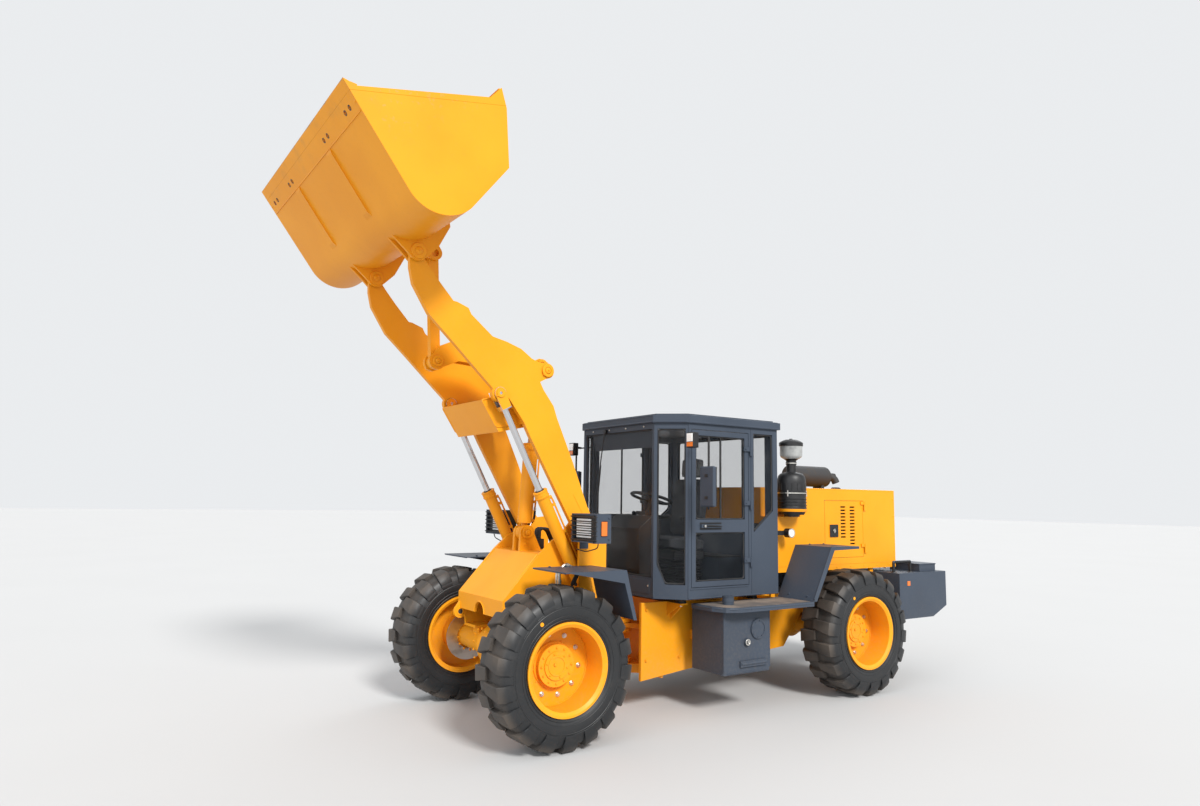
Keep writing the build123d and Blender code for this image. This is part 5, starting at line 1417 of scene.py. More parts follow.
# ---------------------------------------------------------------- cab
@dataclass
class Cab(Assembly):
    """Seals, screws, lamps, wiper, handles, mirrors and mounts of the cab."""

    front: float = 0.330
    corner: float = 0.120
    rear: float = -0.943
    half: float = 0.760
    front_half: float = 0.553
    sill: float = 1.120
    waist: float = 1.560
    head: float = 2.385
    door_rear: float = -0.580
    mirror_reach: float = 0.260
    inset: float = 0.014

    def slanted(self, share: float, z: float, side: int, out: float = 0.0) -> Vector:
        """A point of the chamfered corner's face.

        Args:
            share: 0 at the front corner, 1 at the door post.
            z: Height.
            side: 1 left, -1 right.
            out: Distance off the face.

        Returns:
            The point.
        """
        a, b = vec(self.front, self.front_half, z), vec(self.corner, self.half, z)
        normal = vec(b.y - a.y, a.x - b.x, 0).normalized()
        return mirrored(a.lerp(b, share) + normal * out, side)

    def finishes(self) -> None:
        """Paint, glass and plastic on the carried-over nodes."""
        self.machine.dress(Finish.GREY, "cab_frame", "cab_roof", "cab_door_left", "cab_door_right")
        self.machine.dress(Finish.GLASS, "cab_glass", "cab_door_glass_left", "cab_door_glass_right")
        self.machine.dress(Finish.PLASTIC, "cab_fittings", "steering")

    def seal(self, name: str, body: str, corners: Sequence[Point], radius: float = 0.007) -> None:
        """A black rubber seal round one pane."""
        Shape(name, body, Finish.RUBBER, 0.0).sweep(rounded(corners, 0.030, True, 4), radius, True, 8).done()

    def seals(self) -> None:
        """Seals of the fixed panes and both doors."""
        x = self.front - self.inset + 0.002
        w = self.front_half - 0.036
        self.seal("windscreen_seal", self.body, upright(0, x, -w, w, self.sill + 0.006, self.head - 0.006))
        x = self.rear + self.inset - 0.002
        w = self.half - 0.126
        self.seal("rear_window_seal", self.body, upright(0, x, -w, w, self.waist + 0.006, self.head - 0.006))
        for side, word in SIDES.items():
            y = side * (self.half - self.inset + 0.002)
            low, high = self.rear + 0.066, self.door_rear - 0.066
            self.seal(f"side_window_seal_{word}", self.body, [(high, y, self.waist - 0.050),
                (high, y, self.head - 0.006), (low, y, self.head - 0.006), (low, y, self.waist + 0.132)])
            foot, slant, top = 1.077, 1.236, self.head - 0.006
            self.seal(f"corner_glass_seal_{word}", self.body,
                [self.slanted(0.11, slant, side, -0.012), self.slanted(0.335, foot, side, -0.012),
                self.slanted(0.89, foot, side, -0.012), self.slanted(0.89, top, side, -0.012),
                self.slanted(0.11, top, side, -0.012)])
            near, far = -0.524, 0.034
            for kind, low, high in (("upper", self.waist + 0.061, self.head - 0.056),
                    ("lower", 1.101, self.waist - 0.061)):
                self.seal(f"door_{kind}_seal_{word}", f"cab_door_{word}", upright(1, y, near, far, low, high))

    def door_trim(self) -> None:
        """Latch recess, handle, lock, hinge bolts and the sliding glass's middle bar."""
        for side, word in SIDES.items():
            body, y = f"cab_door_{word}", side * self.half
            Shape(f"door_latch_plate_{word}", body, Finish.PLASTIC,
                0.003).box((-0.250, y - side * 0.001, self.waist - 0.030),
                (-0.005, y + side * 0.004, self.waist + 0.030)).sweep(rounded([(-0.020, y + side * 0.020,
                self.waist), (-0.120, y + side * 0.029, self.waist + 0.002),
                (-0.235, y + side * 0.018, self.waist - 0.004)], 0.04), 0.010, sides=12, flat=0.8).done()
            Shape(f"door_lock_{word}", body, Finish.ZINC, 0.0005).rod((-0.045, y + side * 0.018, self.waist),
                (-0.045, y + side * 0.032, self.waist), 0.011).done()
            bolts = Shape(f"door_hinge_bolts_{word}", body, Finish.GREY, 0.0005)
            for z in (1.200, 1.700, 2.180):
                bolts.bolt((-0.535, y + side * 0.014, z + 0.060), (0, side, 0), 0.0075)
            bolts.done()
            Shape(f"door_pull_{word}", body, Finish.PLASTIC, 0.0).sweep(rounded([(-0.010, y - side * 0.040,
                self.waist + 0.030), (-0.012, y - side * 0.085, self.waist + 0.030),
                (-0.012, y - side * 0.085, self.waist - 0.100),
                (-0.010, y - side * 0.040, self.waist - 0.100)], 0.02), 0.009, sides=10).done()
            Shape(f"door_glass_divider_{word}", body, Finish.RUBBER,
                0.0).box((-0.262, y - side * 0.022, self.waist + 0.060),
                (-0.248, y - side * 0.010, self.head - 0.055)).done()

    def posts(self) -> None:
        """Weld beads along the corner posts, the plinth's fold and the frame's lower edge."""
        trim = self.shape("cab_folds", Finish.GREY, 0.0)
        for side in SIDES:
            for share in (0.0, 1.0):
                trim.sweep([self.slanted(share, 0.962, side), self.slanted(share, 2.428, side)], 0.0045,
                    sides=8)
            y = side * (self.half + 0.001)
            trim.sweep([(-0.560, y, 1.034), (0.100, y, 1.034)], 0.0045, sides=8)
            trim.sweep([(self.corner, y, 0.958), (self.rear, y, 0.958)], 0.005, sides=8)
            trim.sweep([(self.door_rear - 0.030, y, 0.965), (self.door_rear - 0.030, y, 2.425)], 0.0035,
                sides=8)
        trim.done()
        screws = self.shape("cab_front_screws", Finish.ZINC, 0.0005)
        for y in (-0.40, -0.13, 0.13, 0.40):
            screws.rod((self.front, y, 2.412), (self.front + 0.005, y, 2.412), 0.009, 0.006, 14)
        for y in (-0.48, 0.48):
            screws.rod((self.front, y, 1.050), (self.front + 0.005, y, 1.050), 0.010, 0.007, 14)
        screws.done()
        self.shape("cab_front_plinth", Finish.GREY, 0.002).box((self.front, -0.500, 0.985),
            (self.front + 0.003, 0.500, 1.098)).done()

    def roof(self) -> None:
        """Rolled lip and ribs of the roof."""
        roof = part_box("cab_roof")[1].z
        over = 0.022
        rim = [(self.front + over, -0.562), (self.front + over, 0.562),
            (self.corner + 0.009, self.half + over), (self.rear - over, self.half + over),
            (self.rear - over, -self.half - over), (self.corner + 0.009, -self.half - over)]
        self.shape("roof_lip", Finish.GREY, 0.0).sweep(rounded([(x * 0.999, y * 0.993, 2.444) for x,
            y in rim], 0.03, True, 3), 0.008, True, 10).sweep(rounded([(x * 0.990, y * 0.985, roof - 0.020)
            for x, y in rim], 0.03, True, 3), 0.007, True, 10).done()
        ribs = self.shape("roof_ribs", Finish.GREY, 0.004)
        for y in (-0.42, -0.14, 0.14, 0.42):
            ribs.box((self.rear + 0.10, y - 0.045, roof - 0.002),
                (self.corner - 0.02, y + 0.045, roof + 0.004))
        ribs.done()

    def wiper(self) -> None:
        """Windscreen wiper with its motor cover, parked upright on the right."""
        x = self.front
        arm = self.shape("wiper_arm", Finish.PLASTIC, 0.0005)
        hub = vec(x + 0.010, -0.18, 2.400)
        arm.rod(vec(x - 0.002, hub.y, hub.z), hub + vec(0.012, 0, 0), 0.020)
        tip = vec(x + 0.006, -0.30, 1.83)
        arm.sweep([hub + vec(0.008, 0, 0), hub.lerp(tip, 0.5) + vec(0.012, 0, 0), tip], 0.0055, sides=8)
        arm.sweep([tip + vec(-0.010, 0.03, 0.26), tip + vec(-0.006, 0, 0), tip + vec(-0.010, -0.03, -0.26)],
            0.006, sides=8)
        arm.done()
        self.shape("wiper_motor", Finish.PLASTIC, 0.004).box((x - 0.120, -0.245, 2.335),
            (x - 0.045, -0.115, 2.415)).done()
        self.shape("sun_visor", Finish.GREY, 0.003).box((x - 0.060, -0.46, 2.230), (x - 0.050, 0.46, 2.400),
            Matrix.Rotation(radians(12), 4, "Y")).done()

    def lamps(self) -> None:
        """Small position lamps at the corner posts and work lamps behind the doors."""
        for side, word in SIDES.items():
            at = vec(self.corner + 0.100, side * (self.half + 0.165), self.head - 0.112)
            self.shape(f"position_lamp_base_{word}", Finish.PLASTIC, 0.006).box(at - vec(0.030, 0.045, 0.064),
                at + vec(0.030, 0.045, 0.064)).rod(at + vec(-0.028, 0, 0.020),
                (self.corner + 0.006, at.y, self.head - 0.095), 0.011).done()
            self.shape(f"position_lamp_{word}", Finish.CLEAR, 0.003).box(at + vec(0.028, -0.036, -0.014),
                at + vec(0.035, 0.036, 0.055)).done()
            self.shape(f"position_lamp_amber_{word}", Finish.AMBER,
                0.003).box(at + vec(0.028, -0.036, -0.055), at + vec(0.035, 0.036, -0.018)).done()
            face = vec(self.rear - 0.160, side * (self.half + 0.020), 1.490)
            self.shape(f"work_lamp_lens_{word}", Finish.CLEAR, 0.0).lathe(face, (0, side, 0),
                [(0, 0), (0.008, 0), (0.006, 0.020), (0.001, 0.034), (0, 0.034)], 32).done()
            self.shape(f"work_lamp_bezel_{word}", Finish.ZINC, 0.0).ring(face - vec(0, side * 0.002, 0),
                (0, side, 0), 0.033, 0.043, 0.006, 36).done()

    def mirrors(self) -> None:
        """Mirror glass and shells on the cab fittings' arms."""
        x, y = self.corner + 0.006, self.half + self.mirror_reach
        low, high = self.head - 0.655, self.head - 0.335
        for side, word in SIDES.items():
            self.shape(f"mirror_shell_{word}", Finish.GREY, 0.014).box((x - 0.010, side * (y - 0.086),
                low - 0.006), (x + 0.026, side * (y + 0.086), high + 0.006)).done()
            self.shape(f"mirror_glass_{word}", Finish.MIRROR,
                0.0).box((x - 0.0190, side * (y - 0.072), low + 0.010),
                (x - 0.0160, side * (y + 0.072), high - 0.010)).done()
            clamp = self.shape(f"mirror_clamps_{word}", Finish.PLASTIC, 0.002)
            for z in (low + 0.07, high - 0.07):
                clamp.box((x - 0.014, side * (y - 0.018), z - 0.012),
                    (x + 0.032, side * (y + 0.018), z + 0.012))
            clamp.done()

    def mounts(self) -> None:
        """Rubber mounts, their bolts and gusset plates under the cab."""
        rubber = self.shape("cab_mount_rubbers", Finish.RUBBER, 0.0)
        bolts = self.shape("cab_mount_bolts", Finish.ZINC, 0.0005)
        plates = self.shape("cab_mount_gussets", Finish.YELLOW, 0.0015)
        for side in SIDES:
            for x in (self.corner - 0.090, self.rear + 0.130):
                for low, high, wide in ((0.898, 0.920, 0.048), (0.922, 0.946, 0.046)):
                    rubber.rod((x, side * 0.555, low), (x, side * 0.555, high), wide, wide - 0.004, 28)
                bolts.bolt((x + 0.030, side * 0.575, 0.898), (0, 0, 1), 0.009)
                bolts.rod((x, side * 0.555, 0.868), (x, side * 0.555, 0.884), 0.015, sides=6)
                plates.panel([(x + 0.046, side * 0.421, 0.780), (x + 0.046, side * 0.421, 0.884),
                    (x + 0.046, side * 0.596, 0.884)], (-0.008, 0, 0))
        rubber.done()
        bolts.done()
        plates.done()

    def build(self) -> None:
        """Make all the cab's outer trim."""
        self.finishes()
        self.seals()
        self.door_trim()
        self.posts()
        self.roof()
        self.wiper()
        self.lamps()
        self.mirrors()
        self.mounts()


@dataclass
class Interior(Assembly):
    """Seat cushions, console, levers, dash and floor mat."""


    def cushion(self, name: str, at: Point, size: Point, turn: float, finish: Finish, puff: float = 0.5,
            channels: int = 3) -> bpy.types.Object:
        """A crowned cushion with sewn channels across it.

        Args:
            name: Piece name.
            at: Its middle.
            size: Full width along X, Y and Z before it is turned.
            turn: Turn about Y in radians.
            finish: Its cloth.
            puff: Crown as a share of its thickness.
            channels: Sewn channels across the wide face.

        Returns:
            The piece.
        """
        shape = Shape(name, self.body, finish, 0.0)
        bm = shape.bm
        half = Vector(size) / 2
        bmesh.ops.create_cube(bm, size=2.0)
        bmesh.ops.subdivide_edges(bm, edges=bm.edges[:], cuts=15, use_grid_fill=True)
        for v in bm.verts:
            x, y, z = v.co
            pinch = 1 - 0.10 * (abs(x) ** 6 + abs(y) ** 6) * 0.5
            crown = (1 - x * x * 0.9) * (1 - y * y * 0.9)
            seam = 1 - 0.20 * max(0.0, 1 - abs((x * channels / 2) % 1 - 0.5) * 14) if abs(z) > 0.6 else 1.0
            z2 = z * ((1 - puff) + puff * max(0.0, crown) ** 0.45) * seam
            v.co = vec(x * half.x * pinch, y * half.y * pinch, z2 * half.z)
        where = Matrix.Translation(Vector(at)) @ Matrix.Rotation(turn, 4, "Y")
        bmesh.ops.transform(bm, matrix=where, verts=bm.verts)
        piece = shape.done(80)
        smooth = piece.modifiers.new("soften", "SUBSURF")
        smooth.levels = smooth.render_levels = 1
        return piece

    def piping(self, name: str, at: Point, size: Point, turn: float) -> None:
        """The welt sewn round a cushion's edge.

        Args:
            name: The piece's name.
            at: Middle of the welt's plane.
            size: The cushion's length and width.
            turn: Tilt about Y, in radians.
        """
        where = Matrix.Translation(Vector(at)) @ Matrix.Rotation(turn, 4, "Y")
        hx, hy = size[0] / 2 * 0.905, size[1] / 2 * 0.905
        loop = [where @ Vector(p) for p in ((-hx, -hy, 0), (hx, -hy, 0), (hx, hy, 0), (-hx, hy, 0))]
        Shape(name, self.body, Finish.PLASTIC, 0.0).sweep(rounded(loop, 0.05, True, 6), 0.006, True, 8).done()

    def seat(self) -> None:
        """Pedestal, cushions, headrest and armrests in place of the plain seat."""
        low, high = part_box("seat")
        x = high.x - 0.420
        frame = self.shape("seat_pedestal", Finish.PLASTIC, 0.004)
        frame.box((x - 0.030, -0.170, low.z), (x + 0.320, 0.170, low.z + 0.030))
        for i in range(6):
            z = low.z + 0.040 + 0.032 * i
            wide = 0.150 + 0.012 * (i % 2)
            frame.box((x + 0.130 - wide, -wide, z), (x + 0.130 + wide, wide, z + 0.028))
        frame.box((x - 0.035, -0.190, low.z + 0.236), (x + 0.330, 0.190, low.z + 0.318))
        pedestal = frame.done()
        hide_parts("seat")
        cushion = ((x + 0.195, 0, low.z + 0.385), (0.450, 0.470, 0.130), radians(-3))
        back = ((x - 0.005, 0, low.z + 0.720), (0.560, 0.450, 0.105), radians(-98))
        self.cushion("seat_cushion", *cushion, Finish.CLOTH)
        self.piping("seat_cushion_welt", *cushion)
        self.cushion("seat_back_cushion", *back, Finish.CLOTH, 0.4, 4)
        self.piping("seat_back_welt", *back)
        self.cushion("seat_headrest", (x - 0.048, 0, low.z + 1.095), (0.185, 0.255, 0.085), radians(-94),
            Finish.HEADREST, 0.35, 1)
        posts = self.shape("headrest_posts", Finish.ZINC, 0.0)
        for side in SIDES:
            posts.rod((x - 0.040, side * 0.055, low.z + 0.960), (x - 0.046, side * 0.055, low.z + 1.050),
                0.006)
        posts.done()
        arms = self.shape("seat_armrests", Finish.PLASTIC, 0.012)
        for side in SIDES:
            arms.box((x + 0.040, side * 0.215, low.z + 0.600), (x + 0.300, side * 0.262, low.z + 0.640))
        arms.done()

    def controls(self) -> None:
        """Dash cowl, dials, levers, consoles, pedals and mat."""
        self.shape("dash_cowl", Finish.PLASTIC, 0.012).panel([(0.255, -0.30, 0.995), (0.120, -0.26, 0.995),
            (0.065, -0.24, 1.500), (0.060, -0.24, 1.600), (0.150, -0.26, 1.640), (0.275, -0.30, 1.520)],
            (0, 0.56, 0)).done()
        dials = self.shape("dash_dials", Finish.ZINC, 0.0)
        normal = vec(-0.45, 0, 0.90)
        for y in (-0.15, -0.05, 0.05, 0.15):
            dials.ring(vec(0.105, y, 1.621), normal, 0.026, 0.033, 0.004, 32)
        dials.done()
        levers = self.shape("control_levers", Finish.PLASTIC, 0.0)
        for y in (-0.355, -0.410):
            levers.sweep(rounded([(-0.260, y, 1.330), (-0.230, y, 1.480), (-0.180, y, 1.620)], 0.05), 0.007,
                sides=10)
            levers.lathe((-0.178, y, 1.615), (0.3, 0, 0.95), [(0, 0), (0, 0.014), (0.024, 0.022),
                (0.046, 0.016), (0.052, 0)], 20)
        levers.done()
        box = self.shape("lever_console", Finish.PLASTIC, 0.014)
        box.box((-0.420, -0.450, 0.992), (-0.160, -0.315, 1.345))
        box.done()
        mat = self.shape("floor_mat", Finish.RUBBER, 0.002)
        for i in range(14):
            y = -0.60 + 0.0875 * i
            mat.box((-0.560, y, 0.990), (0.110, y + 0.070, 0.998))
        mat.done()
        pedals = self.shape("pedals", Finish.PLASTIC, 0.004)
        for y in (-0.16, 0.16, 0.24):
            pedals.box((0.020, y - 0.035, 1.060), (0.034, y + 0.035, 1.140),
                Matrix.Rotation(radians(35), 4, "Y"))
            pedals.sweep([(0.030, y, 1.095), (0.110, y, 1.050)], 0.008, sides=8)
        pedals.done()
        self.shape("rear_console_cover", Finish.PLASTIC, 0.010).box((-0.900, -0.332, 1.245),
            (-0.610, 0.332, 1.262)).done()

    def build(self) -> None:
        """Furnish the cab."""
        self.seat()
        self.controls()


# ---------------------------------------------------------------- rear of the machine
@dataclass
class Hood(Assembly):
    """Latches, painted shadow lines in the door seams, dark boxes painted as shade behind the doors, mesh and
    screws of the hood, and the engine behind it.
    """


    def build(self) -> None:
        """Finish the hood and make its trim."""
        self.machine.dress(Finish.YELLOW, "hood", "hood_door_left", "hood_door_right")
        self.machine.dress(Finish.CAST, "engine", "muffler")
        low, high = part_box("hood")
        door_low, door_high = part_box("hood_door_left")
        half = 0.640
        door_rear, door_front, gap = -2.295, -1.725, 0.0025
        for side, word in SIDES.items():
            latch = Shape(f"hood_latch_{word}", f"hood_door_{word}", Finish.PLASTIC, 0.004)
            y = side * (half + 0.006)
            latch.box((door_front - 0.186, y - side * 0.003, 1.439),
                (door_front - 0.064, y + side * 0.0045, 1.561))
            latch.done()
            Shape(f"hood_latch_lever_{word}", f"hood_door_{word}", Finish.ZINC,
                0.001).rod((door_front - 0.125, y + side * 0.004, 1.500),
                (door_front - 0.125, y + side * 0.010, 1.500),
                0.016).box((door_front - 0.130, y + side * 0.004, 1.478),
                (door_front - 0.120, y + side * 0.012, 1.522)).done()
            hems = Shape(f"hood_door_hem_{word}", f"hood_door_{word}", Finish.YELLOW, 0.0)
            y = side * (half - 0.0005)
            hems.sweep(rounded(upright(1, y, door_rear, door_front, door_low.z, door_high.z), 0.01, True, 3),
                0.0025, True, 6)
            hems.done()
            # A dark box with dark side strips just behind each door: painted shade of the space under the
            # hood.
            shade_box = Shape(f"hood_door_shade_box_{word}", f"hood_door_{word}", Finish.CAST, 0.0)
            shade_box.box((door_rear + 0.110, side * (half - 0.030), 1.315),
                (door_rear + 0.360, side * (half - 0.026), 1.780))
            for x in (door_rear + 0.112, door_rear + 0.354):
                shade_box.box((x, side * (half - 0.030), 1.315), (x + 0.004, side * (half - 0.011), 1.780))
            shade_box.done()
            # A dark tube sunk in the gap round each door: a painted shadow line along the gap.
            shadow = self.shape(f"hood_gap_shadow_{word}", Finish.CAST, 0.0)
            y = side * (half - 0.004)
            shadow.sweep(rounded(upright(1, y, door_rear - gap, door_front + gap, door_low.z - gap,
                door_high.z + gap), 0.008, True, 3), 0.0024, True, 6)
            shadow.done()
            screws = self.shape(f"hood_screws_{word}", Finish.YELLOW, 0.0)
            for i in range(9):
                x = low.x + 0.10 + (high.x - low.x - 0.20) * i / 8
                screws.rod((x, side * half, low.z + 0.028), (x, side * (half + 0.004), low.z + 0.028), 0.009,
                    0.006, 12)
            for i in range(4):
                z = low.z + 0.16 + 0.18 * i
                screws.rod((low.x + 0.028, side * half, z), (low.x + 0.028, side * (half + 0.004), z), 0.008,
                    0.005, 12)
            screws.done()
        folds = self.shape("hood_folds", Finish.YELLOW, 0.0)
        for side in SIDES:
            folds.sweep([(low.x + 0.004, side * (half - 0.004), low.z + 0.004),
                (low.x + 0.004, side * (half - 0.004), high.z - 0.004)], 0.006, sides=8)
            folds.sweep([(low.x + 0.004, side * (half - 0.004), high.z - 0.004),
                (-1.380, side * (half - 0.004), high.z - 0.004)], 0.006, sides=8)
            folds.sweep([(low.x + 0.01, side * (half + 0.0005), low.z + 0.055),
                (high.x - 0.01, side * (half + 0.0005), low.z + 0.055)], 0.0022, sides=6)
        folds.sweep([(low.x + 0.004, half - 0.004, high.z - 0.004),
            (low.x + 0.004, 0.004 - half, high.z - 0.004)], 0.006, sides=8)
        folds.done()
        self.grille(low, high)
        self.top(high)

    def grille(self, low: Vector, high: Vector) -> None:
        """Radiator core, its supports and frame seen through the rear slots."""
        core = self.shape("radiator_core", Finish.CAST, 0.0)
        core.box((low.x + 0.045, -0.46, low.z + 0.08), (low.x + 0.060, 0.46, high.z - 0.10))
        for i in range(46):
            y = -0.45 + 0.02 * i
            core.box((low.x + 0.038, y, low.z + 0.09), (low.x + 0.046, y + 0.007, high.z - 0.11))
        core.done()
        brace = self.shape("radiator_supports", Finish.YELLOW, 0.001)
        for side in SIDES:
            brace.box((low.x + 0.010, side * 0.455, low.z + 0.09),
                (low.x + 0.050, side * 0.480, high.z - 0.11))
        brace.done()
        trim = self.shape("grille_frame", Finish.YELLOW, 0.0)
        trim.sweep(rounded(upright(0, low.x + 0.002, -0.450, 0.450, 1.235, 1.800), 0.02, True, 4), 0.004,
            True, 6)
        for side in SIDES:
            for z in (1.245, 1.79):
                trim.bolt((low.x + 0.0085, side * 0.520, z), (-1, 0, 0), 0.007)
        trim.done()

    def top(self, high: Vector) -> None:
        """Radiator cap, muffler bands, tail pipe with a black disc painted as the shade in its mouth, and
        heat rings on the hood's top.
        """
        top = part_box("muffler")[1]
        drum_r = 0.108
        centre_z = top.z - drum_r
        bands = self.shape("muffler_bands", Finish.CAST, 0.001)
        for x in (top.x - 0.008, top.x - 0.13, top.x - 0.42, top.x - 0.522):
            bands.lathe((x, 0.130, centre_z), (1, 0, 0), [(-0.007, drum_r - 0.002), (0.007, drum_r - 0.002),
                (0.006, drum_r), (-0.006, drum_r)], 48)
        for x in (top.x - 0.13, top.x - 0.42):
            bands.box((x - 0.012, 0.130 - drum_r - 0.014, centre_z - 0.012),
                (x + 0.012, 0.130 - drum_r + 0.004, centre_z + 0.012))
        bands.done()
        tail = self.shape("tail_pipe", Finish.CAST, 0.0)
        start = vec(top.x - 0.49, 0.142, centre_z + 0.014)
        line = rounded([start, start + vec(-0.075, 0.012, 0.0), start + vec(-0.150, 0.040, -0.030),
            start + vec(-0.165, 0.050, -0.075)], 0.05, steps=6)
        tail.sweep(line, 0.040, sides=24)
        tail.done()
        # A black disc on the pipe's closed end: painted shade of the pipe's hollow.
        mouth = self.shape("tail_pipe_hollow_shade", Finish.RUBBER, 0.0)
        ahead = (line[-1] - line[-2]).normalized()
        mouth.rod(line[-1], line[-1] + ahead * 0.002, 0.035)
        mouth.done()
        self.shape("riser_collar", Finish.CAST, 0.001).lathe((-1.860, 0.130, high.z), (0, 0, 1),
            [(0, 0.045), (0.012, 0.045), (0.010, 0.072), (0, 0.078)], 36).done()
        self.shape("radiator_cap", Finish.PLASTIC, 0.002).lathe((-2.660, 0.0, high.z), (0, 0, 1),
            [(0, 0), (0, 0.060), (0.020, 0.056), (0.034, 0.040), (0.036, 0)], 32).done()


@dataclass
class AirCleaner(Assembly):
    """Filter drum with ribs and clamps, its neck and the pre-cleaner's bowl."""


    def build(self) -> None:
        """Make the drum in place of the plain node, then its bowl, lid, clamps, bracket and pipe."""
        low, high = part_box("air_cleaner")
        at = vec((low.x + high.x) / 2, (low.y + high.y) / 2, 0.0)
        up = (0, 0, 1)
        foot, top = low.z, high.z
        profile = [(foot, 0.0), (foot, 0.068), (foot + 0.018, 0.072), (foot + 0.020, 0.112),
            (foot + 0.034, 0.122), (1.694, 0.129), (1.700, 0.135), (1.712, 0.139)]
        for z in (1.745, 1.775, 1.805):
            profile += [(z - 0.007, 0.1340), (z - 0.003, 0.139), (z + 0.003, 0.139), (z + 0.007, 0.1340)]
        profile += [(1.850, 0.1335), (1.852, 0.1395), (1.868, 0.1395), (1.870, 0.1330), (1.960, 0.1340),
            (1.990, 0.131), (2.020, 0.122), (2.040, 0.104), (2.049, 0.078), (2.054, 0.052), (2.060, 0.047),
            (2.125, 0.046), (2.128, 0.051), (2.150, 0.051), (2.152, 0.046), (2.165, 0.048), (2.182, 0.070),
            (2.184, 0.0)]
        drum = self.shape("air_cleaner_drum", Finish.PLASTIC, 0.0)
        drum.lathe(at, up, profile, 56)
        for turn in turns(16):
            spot = at + vec(0.1335 * cos(turn), 0.1335 * sin(turn), 0)
            drum.sweep([spot + vec(0, 0, 1.885), spot + vec(0, 0, 1.950)], 0.0035, sides=6)
        piece = drum.done(30)
        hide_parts("air_cleaner")
        bowl = self.shape("pre_cleaner_bowl", Finish.BOWL, 0.0)
        bowl.lathe(at, up, [(2.181, 0.0), (2.181, 0.074), (2.196, 0.096), (2.212, 0.1045), (2.300, 0.1055),
            (2.302, 0.0)], 56)
        bowl.done(30)
        lid = self.shape("pre_cleaner_lid", Finish.PLASTIC, 0.0)
        lid.lathe(at, up, [(2.300, 0.0), (2.300, 0.108), (2.304, 0.112), (2.330, 0.112), (2.338, 0.106),
            (2.352, 0.080), (2.362, 0.055), (2.364, 0.018), (top, 0.014), (top, 0.0)], 56)
        lid.done(30)
        clamp = self.shape("air_cleaner_clamps", Finish.ZINC, 0.0)
        for z in (1.8585, 2.139):
            radius = 0.1400 if z < 2 else 0.0515
            clamp.lathe(at + vec(0, 0, z), up, [(-0.005, radius - 0.002), (0.005, radius - 0.002),
                (0.005, radius), (-0.005, radius)], 56)
        for turn in (0.5, 2.6, 4.7):
            spot = at + vec(0.141 * cos(turn), 0.141 * sin(turn), 1.862)
            clamp.rod(spot + vec(0, 0, -0.034), spot + vec(0, 0, 0.022), 0.007, 0.005, 10)
        clamp.done()
        self.shape("air_cleaner_bracket", Finish.YELLOW, 0.002).lathe(at + vec(0, 0, 1.700), up,
            [(-0.014, 0.128), (0.012, 0.136), (0.012, 0.1415), (-0.014, 0.136)], 56).done()
        self.shape("intake_pipe", Finish.RUBBER, 0.0).sweep(rounded([at + vec(-0.05, -0.090, 1.900),
            at + vec(-0.09, -0.150, 1.900), at + vec(-0.11, -0.170, 1.770)], 0.05, steps=6), 0.042,
            sides=20).done()


